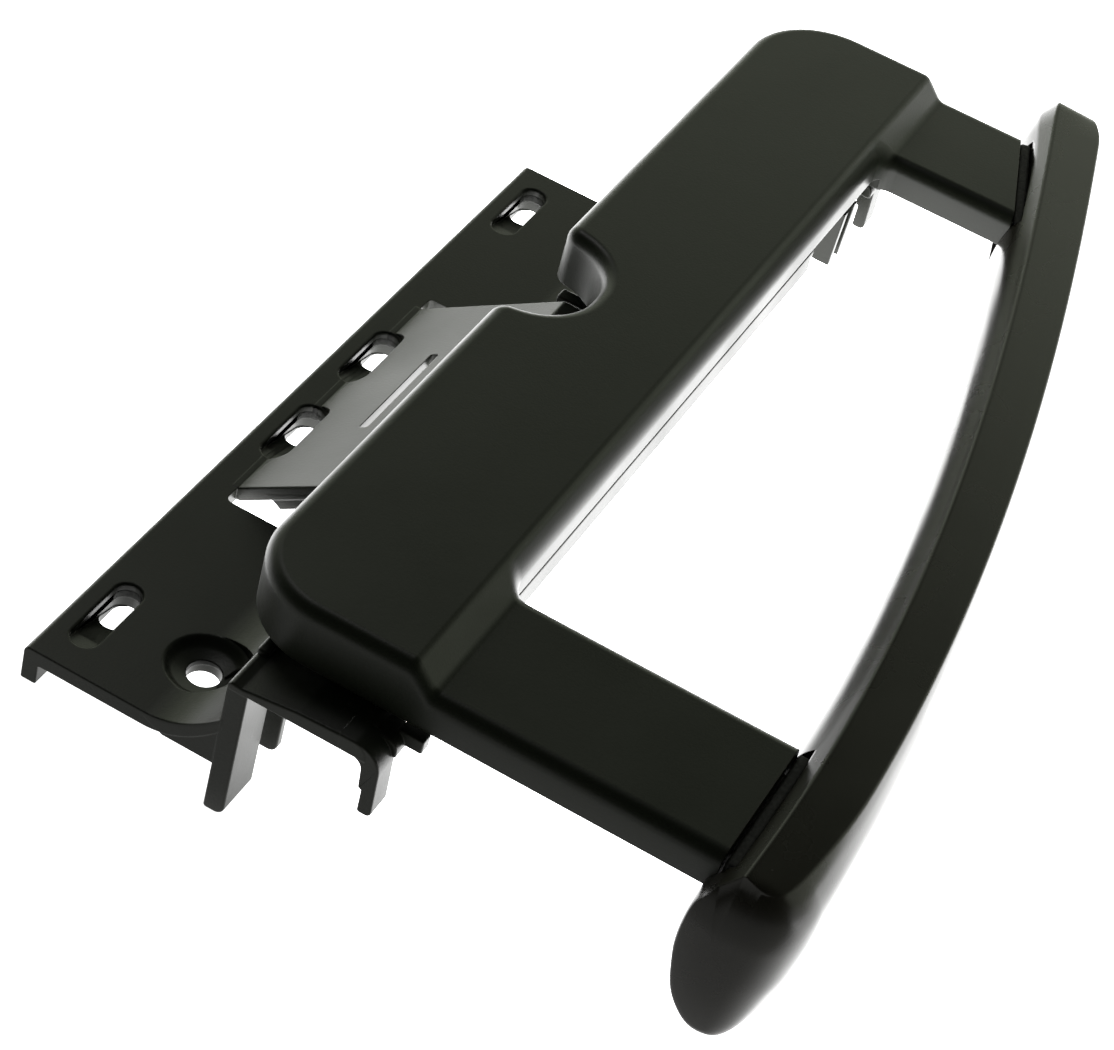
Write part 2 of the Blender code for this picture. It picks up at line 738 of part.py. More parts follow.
def handle_frame():
    """The stiff inner frame: a plate with ribs, four hinge lugs, the pull hook and a tongue into each arm."""
    outline = inset(cover_outline(), WALL + CLEARANCE)
    frame = prism("handle_frame", outline, FRAME_LOW, FRAME_HIGH, finish=frame_nylon())
    cut(frame, box("frame_edge_cutter", (10, FRAME_LEFT), (0, 220), (10, 30)))
    cut(frame, box("wall_gap_cutter", (INNER_X - WALL - CLEARANCE, 72), (33.0, 187.4), (10, 30)))
    parts = []
    for line in (near_end_line(), far_end_line()):
        cut(frame, end_block("frame_end_cutter", line, (-CLEARANCE, 20), (-9, line[3] + 9), (10, 40)))
        parts.append(end_block("tongue", line, (-5.4, 8.5), (4.6, line[3] - 4.6), (TONGUE_LOW, 21.7)))
    parts.append(box("near_arm_block", (60.8, 106.0), (12.6, 31.2), (TONGUE_LOW, FRAME_HIGH)))
    parts.append(box("far_arm_block", (60.8, 77.0), (190.0, 206.6), (TONGUE_LOW, FRAME_HIGH)))
    for x in (43.2, 55.0):
        parts.append(box("long_rib", (x, x + 1.8), (14.0, 205.0), (21.0, RIB_HIGH)))
    for y in (62.0, 98.0, 114.0, 150.0):
        parts.append(box("short_rib", (43.2, 56.8), (y, y + 1.8), (21.0, RIB_HIGH)))
    for start in HINGES.values():
        for low in lug_starts(start):
            lug = hull(circle((AXIS_X, AXIS_Z), LUG_R) + [(44.5, FRAME_LOW), (44.5, RIB_HIGH)])
            parts.append(prism("hinge_lug", lug, low, low + LUG_LONG, "y"))
    shank = [(50.0, 21.0), (55.0, 21.0), (53.7, 15.0), (53.7, 5.0)]
    foot = [(45.0, 5.0), (45.0, 6.7), (51.9, 6.7), (51.9, 15.0)]
    parts.append(prism("pull_hook", shank + foot, LEVER_Y[0] + 0.1, LEVER_Y[1] - 0.1, "y"))
    join(frame, *parts)
    for start in HINGES.values():
        bore = [(BUSH_R + 0.05, start - 5), (BUSH_R + 0.05, start + HINGE_SPAN + 5)]
        cut(frame, turned("lug_bore_cutter", (AXIS_X, AXIS_Z), bore, "y"))
    for x, y in SCREW_POSTS:
        cut(frame, turned("frame_screw_cutter", (x, y), [(1.6, 18), (1.6, 28)], "z", count=14))
    for line in (near_end_line(), far_end_line()):
        x, y = grip_screw_at(line)
        cut(frame, turned("tongue_hole_cutter", (x, y), [(1.3, 16), (1.3, 24)], "z", count=14))
    return frame


def lug_starts(start):
    return (start + EAR_THICK + 0.7, start + HINGE_SPAN - EAR_THICK - 0.7 - LUG_LONG)


def hinge_bushes():
    """Flanged bearing bushes pressed into the frame's lugs from the ear side."""
    pieces = []
    for side, start in HINGES.items():
        for letter, low in zip("ab", lug_starts(start)):
            outward = -1 if letter == "a" else 1
            face = low if letter == "a" else low + LUG_LONG
            profile = [
                (BUSH_R, face - outward * (LUG_LONG - 0.4)),
                (BUSH_R, face + outward * 0.02),
                (3.7, face + outward * 0.05),
                (3.7, face + outward * 0.5),
            ]
            bush = turned(f"hinge_bush_{side}_{letter}", (AXIS_X, AXIS_Z), profile, "y", bush_acetal())
            bore = [(PIN_R + RUNNING_GAP, low - 3), (PIN_R + RUNNING_GAP, low + LUG_LONG + 3)]
            cut(bush, turned("bush_bore_cutter", (AXIS_X, AXIS_Z), bore, "y"))
            pieces.append(bush)
    return pieces


def frame_screws():
    """Pan-head screws that hold the frame up into the cover's posts."""
    pieces = []
    for number, (x, y) in enumerate(SCREW_POSTS, 1):
        profile = [(1.6, 18.5), (2.7, 18.9), (2.8, 20.0), (1.05, 20.0), (1.05, 25.4), (0.5, 26.0)]
        screw = turned(f"frame_screw_{number}", (x, y), profile, "z", plated_steel(), count=14)
        cut(screw, cross_recess(x, y, 18.0, 19.5))
        pieces.append(screw)
    return pieces


def cross_recess(x, y, low, high):
    cutter = box("recess_cutter", (x - 0.35, x + 0.35), (y - 1.2, y + 1.2), (low, high))
    join(cutter, box("recess_arm_cutter", (x - 1.2, x + 1.2), (y - 0.35, y + 0.35), (low, high)))
    return cutter


# Grip


def ridge_at(t):
    """A point on the grip's ridge and the unit step along it."""
    a, b, c, d = (Vector(point) for point in RIDGE_CURVE)
    s = 1 - t
    point = a * s**3 + b * 3 * s * s * t + c * 3 * s * t * t + d * t**3
    slope = (b - a) * 3 * s * s + (c - b) * 6 * s * t + (d - c) * 3 * t * t
    return point, slope.normalized()


def grip_section(t, steps=3):
    """The grip's section at t, as (outwards, height) points: creased along the ridge, and fullest near t = 0."""
    bevel = 0.7 + 2.6 * abs(2 * t - 1) ** 3
    width = 8.4 + 1.6 * t
    fuller = (1 - t) ** 4
    return smooth_loop(
        [
            (0.0, RIDGE_Z),
            (width - 0.4, 24.9),
            (width + 0.8 + 2.3 * fuller, 20.5),
            (width + 0.4 + 1.6 * fuller, 6.0),
            (5.4 + 0.6 * fuller, -3.4 - 0.8 * fuller),
            (1.6 - 0.6 * fuller, -4.8 - 0.9 * fuller),
            (-3.6 - 0.9 * fuller, 1.4 - 0.6 * fuller),
            (-5.2 - 1.4 * fuller, 11.0),
            (-4.0 - 1.0 * fuller, 20.0),
            (-bevel, RIDGE_Z - 1.1 * bevel),
        ],
        steps,
    )


def end_fullness(distance, reach):
    """How full the section is near an end, on a quarter ellipse."""
    if distance >= reach:
        return 1.0
    return math.sqrt(max(0.0, 1 - (1 - distance / reach) ** 2))


def grip_rings(stations, steps):
    """Sections along the ridge: drawn together at a nearly flat near cap and at a long rounded far tip."""
    total = (Vector(RIDGE_CURVE[3]) - Vector(RIDGE_CURVE[0])).length
    near = [NEAR_CAP_REACH / total * f for f in (0.0, 0.1, 0.3, 0.6)]
    far = [1 - FAR_TIP_REACH / total * f for f in (0.75, 0.5, 0.3, 0.15, 0.05, 0.0)]
    middle = [near[-1] + (far[0] - near[-1]) * i / stations for i in range(1, stations)]
    rings = []
    for t in near + middle + far:
        point, along = ridge_at(t)
        outwards = Vector((along.y, -along.x))
        near_full = 0.84 + 0.16 * end_fullness(t * total, NEAR_CAP_REACH)
        far_full = 0.22 + 0.78 * end_fullness((1 - t) * total, FAR_TIP_REACH)
        ring = []
        for out, z in grip_section(t, steps):
            out = 3.0 + (out - 3.0) * near_full * far_full
            z = 13.0 + (z - 13.0) * near_full * far_full
            ring.append((*(point + outwards * out), z))
        rings.append(ring)
    return rings


def grip_screw_at(line):
    start, along, out, length = line
    return tuple(start + along * (length / 2) + out * 6.2)


def grip():
    """The bowed bar, with a flat seat and a socket for each arm and a screw pocket under each socket."""
    bar = loft("grip", grip_rings(GRIP_STATIONS, 2), grip_plastic())
    for line in (near_end_line(), far_end_line()):
        cut(bar, end_block("seat_cutter", line, (-14, 2.7), (-2.5, line[3] + 2.5), (13.6, 24.9)))
        cut(bar, end_block("socket_cutter", line, (0, 8.9), (4.2, line[3] - 4.2), (17.6, 22.1)))
        x, y = grip_screw_at(line)
        profile = [(3.1, -20), (3.1, 12.6), (1.7, 12.6), (1.7, 19)]
        cut(bar, turned("grip_screw_cutter", (x, y), profile, "z", count=16))
    return bar


def grip_screws():
    pieces = []
    for side, line in (("near", near_end_line()), ("far", far_end_line())):
        x, y = grip_screw_at(line)
        profile = [(1.7, 10.6), (2.7, 11.0), (2.8, 12.3), (1.2, 12.3), (1.2, 21.0), (0.6, 21.6)]
        screw = turned("grip_screw_" + side, (x, y), profile, "z", plated_steel(), count=14)
        cut(screw, cross_recess(x, y, 10.0, 11.7))
        pieces.append(screw)
    return pieces


def grip_collars():
    """Soft black collars squeezed between the arms' ends and the grip's seats."""
    pieces = []
    for side, line in (("near", near_end_line()), ("far", far_end_line())):
        along = (0.6, line[3] - 0.6)
        collar = end_block("grip_collar_" + side, line, (0.3, 2.4), along, (14.2, 24.4), black_rubber())
        cut(collar, end_block("collar_slot_cutter", line, (-2, 5), (4.2, line[3] - 4.2), (17.6, 22.1)))
        pieces.append(collar)
    return pieces


def main():
    clear_scene()
    mounting_bracket()
    hinge_pins()
    stop_buffers()
    return_spring()
    lever_pin()
    handle = [handle_cover(), handle_frame(), grip()]
    handle += hinge_bushes() + frame_screws() + grip_screws() + grip_collars()
    hang("handle_axis", AXIS_X, AXIS_Z, handle)
    hang("lever_axis", *LEVER_AXIS, [release_lever(), cable_nipple_clip()])


main()
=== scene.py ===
"""Looks of the pull handle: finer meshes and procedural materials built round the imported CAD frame.

Sizes are millimetres from the bracket plate's near left top corner: X runs from the plate towards the
grip, Y along the handle, Z away from the door. place() turns them into metres in the frame, from an origin
read back from the bracket's CAD box. Each piece rides on the body of the node that it stands for.
"""

import json
import math

import bmesh
import bpy
from mathutils import Matrix, Vector

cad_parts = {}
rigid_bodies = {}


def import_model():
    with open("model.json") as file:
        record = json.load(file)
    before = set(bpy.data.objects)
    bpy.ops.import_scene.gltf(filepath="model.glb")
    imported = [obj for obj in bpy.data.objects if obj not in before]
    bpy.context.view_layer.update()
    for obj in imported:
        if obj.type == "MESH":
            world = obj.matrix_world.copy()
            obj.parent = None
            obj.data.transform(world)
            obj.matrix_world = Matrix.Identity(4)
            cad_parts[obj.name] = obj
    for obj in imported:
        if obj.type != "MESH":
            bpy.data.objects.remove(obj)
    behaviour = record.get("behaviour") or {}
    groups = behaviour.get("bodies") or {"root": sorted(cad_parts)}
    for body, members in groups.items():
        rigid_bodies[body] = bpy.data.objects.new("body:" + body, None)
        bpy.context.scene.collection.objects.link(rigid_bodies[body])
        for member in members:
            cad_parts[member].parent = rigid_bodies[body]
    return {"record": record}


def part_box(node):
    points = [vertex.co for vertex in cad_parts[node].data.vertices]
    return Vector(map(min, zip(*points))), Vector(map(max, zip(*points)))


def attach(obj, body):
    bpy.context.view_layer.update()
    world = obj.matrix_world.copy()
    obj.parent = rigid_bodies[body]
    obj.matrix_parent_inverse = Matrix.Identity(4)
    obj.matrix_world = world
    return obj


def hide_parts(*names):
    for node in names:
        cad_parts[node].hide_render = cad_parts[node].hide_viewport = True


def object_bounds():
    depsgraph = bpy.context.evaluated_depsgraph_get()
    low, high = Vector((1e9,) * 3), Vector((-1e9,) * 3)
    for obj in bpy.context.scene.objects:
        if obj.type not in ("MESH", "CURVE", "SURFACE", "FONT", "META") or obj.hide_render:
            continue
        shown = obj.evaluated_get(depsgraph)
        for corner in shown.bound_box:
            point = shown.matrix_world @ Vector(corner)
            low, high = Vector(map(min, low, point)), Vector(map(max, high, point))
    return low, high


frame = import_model()
CAD_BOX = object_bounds()

MM = 0.001
BODIES = frame["record"]["behaviour"]["bodies"]
BODY_OF = {node: body for body, nodes in BODIES.items() for node in nodes}

# Mounting bracket
PLATE_LENGTH = 165.6
PLATE_THICK = 2.9
FLANGE_LOW = -6.9
FLANGE_HALF = 1.4
MIDDLE_Y = PLATE_LENGTH / 2
CHANNEL_END = 195.0
WEB_LOW = 13.8
WEB_TOP = 17.0
WEB_RIGHT = 57.0
WALL_X = (57.4, 60.0)
RAISED_WALL_Y = (37.2, 156.0)
RAISED_WALL_TOP = 19.6
LEG_LOW = -12.5
LEG_RUN = 8.6
SHOULDER_LOW = 3.7
WINDOW_HALF = 34.6
RAMP_HALF = 31.0
CREASE_X = 4.8
RAMP_TOP = (30.6, 16.5)
SLOT_X = 4.7
SLOT_OFFSETS = (12.9, 69.2)
SLOT_LENGTH = 16.5
SLOT_WIDTH = 4.8
SCREW_HOLE = (22.5, 68.4)
SCREW_HOLE_R = 2.85
DISH = ((SCREW_HOLE_R, -2.0), (3.4, -1.7), (4.9, -1.45), (5.7, -1.05), (6.2, -0.45), (6.6, -0.1), (7.0, 0.02))
BUFFER_X = 49.0
BUFFERS = (("near", 64.0), ("far", 140.0))

# Where the frame's origin is, read back from the bracket's box
LOWEST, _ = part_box("mounting_bracket")
ORIGIN = (-FLANGE_HALF - LOWEST.x / MM, -LOWEST.y / MM, LEG_LOW - LOWEST.z / MM)

# Handle cover with its two arms
WALL = 2.4
COVER_LEFT = 26.2
COVER_NEAR = 7.8
COVER_FAR = 211.9
COVER_TOP = 28.5
ARM_TOP = 24.5
COVER_LOW = 17.5
INNER_X = 60.0
INNER_WALL_LOW = 20.0
NEAR_ARM_INNER = 36.0
FAR_ARM_INNER = 185.0
NEAR_ARM_END = 110.0
FILLET = 2.5
FILLET_STEPS = 8
NEAR_CORNER_R = 14.6
FAR_CORNER_R = 16.0
FOLD_X = (57.6, 61.4)
FOLD_SOFTNESS = 0.8
NOTCH_Y = 104.5
RUN_ON = 5.0

# Hinge
HINGE_AXIS = AXIS_X, AXIS_Z = 33.5, 21.5
PIN_R = 2.0
BUSH_R = 2.9
LUG_R = 4.0
LUG_LONG = 6.0
EAR_THICK = 3.0
CLEARANCE = 0.3
RUNNING_GAP = 0.06
HINGES = {"near": 24.0, "far": 160.0}
HINGE_SPAN = 33.0

# Handle frame inside the cover
FRAME_LOW = 20.3
FRAME_HIGH = 21.8
FRAME_LEFT = 42.0
RIB_HIGH = 25.7
TONGUE_LOW = 18.0
SCREW_POSTS = ((50.0, 26.0), (50.0, 78.0), (50.0, 132.0), (50.0, 201.0))

# Grip
RIDGE_CURVE = ((114.3, 2.6), (118.4, 80.0), (95.6, 170.0), (79.2, 228.9))
RIDGE_Z = 27.0
GRIP_STATIONS = 70
SECTION_STEPS = 7
CAP_STEPS = 12
CAP_CENTRE = (0.3, 12.0)
CAP_BULGE = 1.4
CAP_HALF_WIDTH = 8.0
NEAR_CAP_REACH = 5.0
NEAR_CORNER_REACH = 9.0
NEAR_LEAN_REACH = 14.0
NEAR_TAPER_REACH = 28.0
RIM_CORNER_REACH = 2.6
RIM_MARGIN = 0.6
TOP_SETBACK = 3.2
LEAN_LOW = 16.0
LEAN_HEIGHT = 9.3
TIP_CENTRE = (1.4, 13.0)
FAR_TIP_REACH = 15.0
TIP_TOP_REACH = 7.0

# Release lever
LEVER_AXIS = (38.0, 10.0)
LEVER_Y = (178.0, 180.0)
LEVER_RIBS = ((176.0, 177.6), (180.4, 182.0))
LEVER_PIN_R = 1.5
LEVER_HUB_R = 3.4
EYE_SHIFT = (-3.0, -14.0)

# Finishes
PLASTIC_GLOSS = 0.22
SHARP_ANGLE = 38
ROUND = 48
EASE = 0.3
WELD = 2e-6

# Camera and studio
CAMERA_PLACE = (0.15911, -0.37530, 0.34614)
CAMERA_RIGHT = (0.86483, 0.45477, 0.21272)
CAMERA_UP = (-0.45379, 0.52679, 0.71873)
CAMERA_BACK = (0.21479, -0.71811, 0.66195)
CAMERA_LENS = 99.83
FLOOR_HALF = 3.0
FLOOR_COLOUR = (0.8, 0.8, 0.8, 1.0)
FLOOR_BRIGHTENS = (0.1, 1.0, 0.0)
FLOOR_GLOW = (0.55, 5.5)
FLOOR_GLOW_SPAN = (-0.085, -0.035)
OVERHEAD_PLACE = (-0.35, 0.3, 0.8)
OVERHEAD_SIZE = 0.25
OVERHEAD_POWER = 0.8
BACK_WALL_GLOW = 1.25
WALL_FADES_UP = (0.7, 0.42)
WALL_FADES_FORWARD = (-0.1, 0.6)
CEILING_GLOW = 0.03
BACKDROP_TINT = (0.93, 1.0, 0.8, 1.0)
BACKDROP_SEEN = (0.95, 0.95, 0.95, 1.0)


def place(x, y, z):
    return Vector([(value - zero) * MM for value, zero in zip((x, y, z), ORIGIN)])


def put(name, data):
    """A new object for some data, linked into the scene."""
    item = bpy.data.objects.new(name, data)
    bpy.context.scene.collection.objects.link(item)
    return item


# Materials


class Nodes:
    """A material's or a world's node tree, with short calls for adding and joining nodes."""

    def __init__(self, made, shader="Principled BSDF"):
        self.made = made
        self.made.use_nodes = True
        self.tree = self.made.node_tree
        self.shader = self.tree.nodes[shader]

    def feed(self, target, value):
        """Gives an input a value or another node's output."""
        if isinstance(value, bpy.types.NodeSocket):
            self.tree.links.new(value, target)
        else:
            target.default_value = value

    def add(self, kind, *inputs, **values):
        """A new node, with inputs by place or by name, and its own settings by name."""
        node = self.tree.nodes.new("ShaderNode" + kind)
        for place_or_name, value in (*values.items(), *enumerate(inputs)):
            if isinstance(place_or_name, int) or place_or_name in node.inputs:
                self.feed(node.inputs[place_or_name], value)
            else:
                setattr(node, place_or_name, value)
        return node

    def noise(self, scale, detail=3.0, stretch=None):
        """Noise over the object's own coordinates, which are metres in the frame."""
        where = self.add("TexCoord").outputs["Object"]
        if stretch:
            where = self.add("Mapping", Vector=where, Scale=stretch).outputs["Vector"]
        return self.add("TexNoise", Vector=where, Scale=scale, Detail=detail).outputs["Fac"]

    def spread(self, value, low, high, start=0.3, end=0.7, curve="LINEAR"):
        """value between start and end, spread over low to high."""
        node = self.add("MapRange", value, start, end, low, high, interpolation_type=curve)
        return node.outputs["Result"]

    def math(self, operation, *values):
        return self.add("Math", *values, operation=operation).outputs["Value"]

    def dot(self, a, b):
        return self.add("VectorMath", a, b, operation="DOT_PRODUCT").outputs["Value"]

    def mix(self, factor, first, second):
        node = self.add("Mix", data_type="RGBA", Factor=factor)
        for socket, colour in ((node.inputs[6], first), (node.inputs[7], second)):
            self.feed(socket, (*colour, 1.0) if isinstance(colour, tuple) else colour)
        return node.outputs[2]

    def edges(self, radius):
        """1 on edges and 0 on flats, from how far a bevelled normal turns away, and that normal."""
        soft = self.add("Bevel", samples=4, Radius=radius).outputs["Normal"]
        alike = self.dot(soft, self.add("NewGeometry").outputs["Normal"])
        return self.spread(alike, 1.0, 0.0, 0.75, 0.99), soft

    def bump(self, height, distance, normal):
        node = self.add("Bump", Strength=1.0, Distance=distance, Height=height, Normal=normal)
        return node.outputs["Normal"]

    def fill(self, **values):
        """Sets the shader's inputs, each name with its first letters small and its spaces as underlines."""
        for name, value in values.items():
            self.feed(self.shader.inputs[name.replace("_", " ").title()], value)

    def finish(self, colour, roughness, normal, metallic=0.0, gloss=0.5):
        self.fill(base_color=colour, roughness=roughness, normal=normal, metallic=metallic)
        self.shader.inputs["Specular IOR Level"].default_value = gloss
        return self.made


def moulded(name, colour, worn, roughness, grain_scale, grain_depth):
    """Moulded plastic: a fine grain, faint flow marks along the part, and edges rubbed smoother and paler."""
    nodes = Nodes(bpy.data.materials.new(name))
    grain = nodes.noise(grain_scale, 2.0)
    flow = nodes.noise(9.0, 4.0, (1.0, 0.25, 1.0))
    smudges = nodes.noise(55.0, 5.0)
    edges, soft = nodes.edges(0.0003)
    rubbed = nodes.math("MULTIPLY", edges, nodes.spread(nodes.noise(240.0), 0.0, 1.0, 0.35, 0.65))
    shade = nodes.mix(nodes.spread(flow, 0.0, 1.0), colour, tuple(c * 1.22 for c in colour))
    base = nodes.mix(rubbed, shade, worn)
    rough = nodes.spread(smudges, roughness - 0.035, roughness + 0.035)
    smoother = nodes.math("MULTIPLY_ADD", rubbed, -0.1, rough)
    relief = nodes.bump(grain, grain_depth, nodes.bump(smudges, 0.00002, soft))
    return nodes.finish(base, smoother, relief, gloss=PLASTIC_GLOSS)


def black_rubber():
    """Matt rubber with a soft mottled skin."""
    nodes = Nodes(bpy.data.materials.new("black_rubber"))
    skin = nodes.noise(1500.0, 6.0)
    bloom = nodes.noise(90.0, 4.0)
    _, soft = nodes.edges(0.0005)
    base = nodes.mix(nodes.spread(bloom, 0.0, 1.0), (0.005, 0.005, 0.005), (0.011, 0.011, 0.0105))
    rough = nodes.spread(skin, 0.66, 0.86)
    return nodes.finish(base, rough, nodes.bump(skin, 0.00005, soft))


def steel(name, colour, tint, roughness, streaks):
    """Drawn or stamped steel: fine streaks along the part, a blotchy plated tint and brighter edges."""
    nodes = Nodes(bpy.data.materials.new(name))
    lines = nodes.noise(1600.0, 3.0, streaks)
    blotches = nodes.noise(160.0, 5.0)
    edges, soft = nodes.edges(0.0002)
    base = nodes.mix(nodes.spread(blotches, 0.0, 1.0), colour, tint)
    bright = nodes.mix(edges, base, tuple(min(1.0, c * 1.35) for c in colour))
    rough = nodes.spread(lines, roughness - 0.09, roughness + 0.09)
    return nodes.finish(bright, rough, nodes.bump(lines, 0.00001, soft), 1.0)


# Each plastic's colour, worn colour, roughness, grain scale and grain depth
PLASTICS = {
    "bracket_plastic": ((0.013, 0.0145, 0.0105), (0.045, 0.047, 0.04), 0.38, 2400.0, 0.00002),
    "cover_plastic": ((0.011, 0.013, 0.0085), (0.035, 0.038, 0.031), 0.38, 2600.0, 0.000016),
    "grip_plastic": ((0.010, 0.0092, 0.0068), (0.028, 0.026, 0.022), 0.27, 3200.0, 0.000004),
    "frame_nylon": ((0.04, 0.04, 0.04), (0.075, 0.075, 0.072), 0.52, 1800.0, 0.00004),
    "bush_acetal": ((0.74, 0.73, 0.68), (0.8, 0.79, 0.75), 0.34, 2600.0, 0.00001),
}
# Each steel's colour, tint, roughness and the stretch of its streaks
STEELS = {
    "plated_steel": ((0.56, 0.56, 0.54), (0.62, 0.6, 0.52), 0.32, (1.0, 0.12, 1.0)),
    "spring_steel": ((0.3, 0.3, 0.31), (0.22, 0.21, 0.2), 0.34, (1.0, 1.0, 0.2)),
}
MATERIALS = {name: moulded(name, *look) for name, look in PLASTICS.items()}
MATERIALS["black_rubber"] = black_rubber()
MATERIALS |= {name: steel(name, *look) for name, look in STEELS.items()}


# Mesh building


def solid(name, points, faces):
    """An object from millimetre points and faces, with its faces turned outwards."""
    mesh = bpy.data.meshes.new(name)
    mesh.from_pydata([place(*point) for point in points], [], faces)
    shape = bmesh.new()
    shape.from_mesh(mesh)
    bmesh.ops.recalc_face_normals(shape, faces=shape.faces)
    shape.to_mesh(mesh)
    shape.free()
    return put(name, mesh)


def loft(name, rings):
    """Rings of equal length joined by quads, with the first and the last one filled."""
    count = len(rings[0])
    points = [point for ring in rings for point in ring]
    faces = []
    for start in range(0, len(points) - count, count):
        for i in range(count):
            j = (i + 1) % count
            faces.append((start + i, start + j, start + count + j, start + count + i))
    faces.append(tuple(range(count)))
    faces.append(tuple(range(len(points) - count, len(points))))
    return solid(name, points, faces)


def anticlockwise(outline):
    area = sum(a[0] * b[1] - b[0] * a[1] for a, b in zip(outline, outline[1:] + outline[:1]))
    return outline if area > 0 else outline[::-1]


TURNS = {
    "z": lambda a, b, c: (a, b, c),
    "y": lambda a, b, c: (a, c, b),
}


def prism(name, outline, low, high, axis="z"):
    """A flat outline extruded along z, or along y, where the outline is x and z."""
    return loft(name, [[TURNS[axis](a, b, c) for a, b in outline] for c in (low, high)])


def eased(name, outline, low, high, axis="z", ease=EASE, steps=3):
    """A prism whose edges round over at both ends."""
    outline = anticlockwise(outline)
    heights = []
    for step in range(steps + 1):
        turn = math.pi / 2 * step / steps
        heights.append((ease * (1 - math.sin(turn)), ease * (1 - math.cos(turn))))
    rounds = [(inwards, low + up) for inwards, up in heights]
    rounds += [(inwards, high - up) for inwards, up in reversed(heights)]
    rings = [[TURNS[axis](a, b, c) for a, b in inset(outline, inwards)] for inwards, c in rounds]
    return loft(name, rings)


def rectangle(first, second, radius=0.0):
    """A flat box outline between two spans, with its corners rounded."""
    corners = [(first[0], second[0]), (first[1], second[0]), (first[1], second[1]), (first[0], second[1])]
    return rounded([(*corner, radius) for corner in corners], steps=4) if radius else corners


def box(name, x, y, z):
    return prism(name, rectangle(x, y), *z)


def block(name, x, y, z, ease=EASE):
    """A box with every edge rounded."""
    return eased(name, rectangle(x, y, ease * 1.3), *z, ease=ease)


def circle(centre, radius):
    turns = [2 * math.pi * i / ROUND for i in range(ROUND)]
    return [(centre[0] + radius * math.cos(t), centre[1] + radius * math.sin(t)) for t in turns]


def turned(name, centre, profile, axis):
    """A turned piece: profile holds (radius, distance along the axis) steps round centre."""
    rings = []
    for radius, along in profile:
        rings.append([TURNS[axis](a, b, along) for a, b in circle(centre, radius)])
    return loft(name, rings)


def softened(profile, ease, steps=3):
    """A turned profile with each step's corner rounded, and its two ends left as they are."""
    soft = [profile[0]]
    for before, here, after in zip(profile, profile[1:], profile[2:]):
        corner = Vector(here)
        back, ahead = Vector(before) - corner, Vector(after) - corner
        reach = min(ease, back.length * 0.45, ahead.length * 0.45)
        start, end = corner + back.normalized() * reach, corner + ahead.normalized() * reach
        for step in range(steps + 1):
            t = step / steps
            soft.append(tuple(start * (1 - t) ** 2 + corner * 2 * t * (1 - t) + end * t**2))
    return [*soft, profile[-1]]


def hull(points):
    """The convex outline round some flat points."""
    ordered = sorted(set(points))

    def half(run):
        kept = []
        for point in run:
            while len(kept) > 1 and cross(kept[-2], kept[-1], point) <= 1e-9:
                kept.pop()
            kept.append(point)
        return kept[:-1]

    return half(ordered) + half(ordered[::-1])


def cross(a, b, c):
    return (b[0] - a[0]) * (c[1] - a[1]) - (b[1] - a[1]) * (c[0] - a[0])


def rounded(corners, steps=8):
    """A closed outline from (x, y, radius) corners, each one turned into an arc."""
    outline = []
    for i, (x, y, radius) in enumerate(corners):
        here = Vector((x, y))
        back = (Vector(corners[i - 1][:2]) - here).normalized()
        ahead = (Vector(corners[(i + 1) % len(corners)][:2]) - here).normalized()
        if radius == 0:
            outline.append((x, y))
            continue
        half_angle = back.angle(ahead) / 2
        centre = here + (back + ahead).normalized() * (radius / math.sin(half_angle))
        first = here + back * (radius / math.tan(half_angle)) - centre
        last = here + ahead * (radius / math.tan(half_angle)) - centre
        for step in range(steps + 1):
            arm = first.slerp(last, step / steps)
            outline.append(tuple(centre + arm.normalized() * radius))
    return outline


def inset(outline, distance):
    """An anticlockwise outline with every side moved inwards by the same distance."""
    moved = []
    for i, point in enumerate(outline):
        here = Vector(point)
        into = (here - Vector(outline[i - 1])).normalized()
        out = (Vector(outline[(i + 1) % len(outline)]) - here).normalized()
        normal = Vector((-into.y - out.y, into.x + out.x)).normalized()
        stretch = normal.dot(Vector((-into.y, into.x)))
        moved.append(tuple(here + normal * (distance / stretch)))
    return moved


def curve_through(points, steps):
    """A smooth run through flat points, from the first to the last."""
    run = [points[0], *points, points[-1]]
    curve = []
    for i in range(1, len(run) - 2):
        a, b, c, d = (Vector(p) for p in run[i - 1 : i + 3])
        for step in range(steps):
            t = step / steps
            sum_of = 2 * b + (c - a) * t + (2 * a - 5 * b + 4 * c - d) * t**2 + (3 * b - a - 3 * c + d) * t**3
            curve.append(tuple(0.5 * sum_of))
    return [*curve, points[-1]]


def boolean(item, others, operation):
    """One Boolean for a whole group of helpers, so that they are all worked out together."""
    step = item.modifiers.new(operation.lower(), "BOOLEAN")
    step.operand_type = "COLLECTION"
    step.collection = bpy.data.collections.new("helpers")
    for other in others:
        step.collection.objects.link(other)
    step.operation = operation
    step.solver = "EXACT"


def join(item, *others):
    boolean(item, others, "UNION")


def cut(item, *others):
    boolean(item, others, "DIFFERENCE")


def apply_modifiers(item):
    graph = bpy.context.evaluated_depsgraph_get()
    mesh = bpy.data.meshes.new_from_object(item.evaluated_get(graph))
    item.modifiers.clear()
    item.data = mesh
    shape = bmesh.new()
    shape.from_mesh(mesh)
    bmesh.ops.remove_doubles(shape, verts=shape.verts, dist=WELD)
    bmesh.ops.dissolve_degenerate(shape, edges=shape.edges, dist=WELD)
    shape.to_mesh(mesh)
    shape.free()


def remove(items):
    for item in items:
        bpy.data.objects.remove(item, do_unlink=True)


def settle(item):
    """Applies an item's modifiers and removes the helper objects they used."""
    groups = [step.collection for step in item.modifiers]
    helpers = [helper for group in groups for helper in group.objects]
    for helper in helpers:
        if helper.modifiers:
            settle(helper)
    apply_modifiers(item)
    remove(helpers)
    for group in groups:
        bpy.data.collections.remove(group)


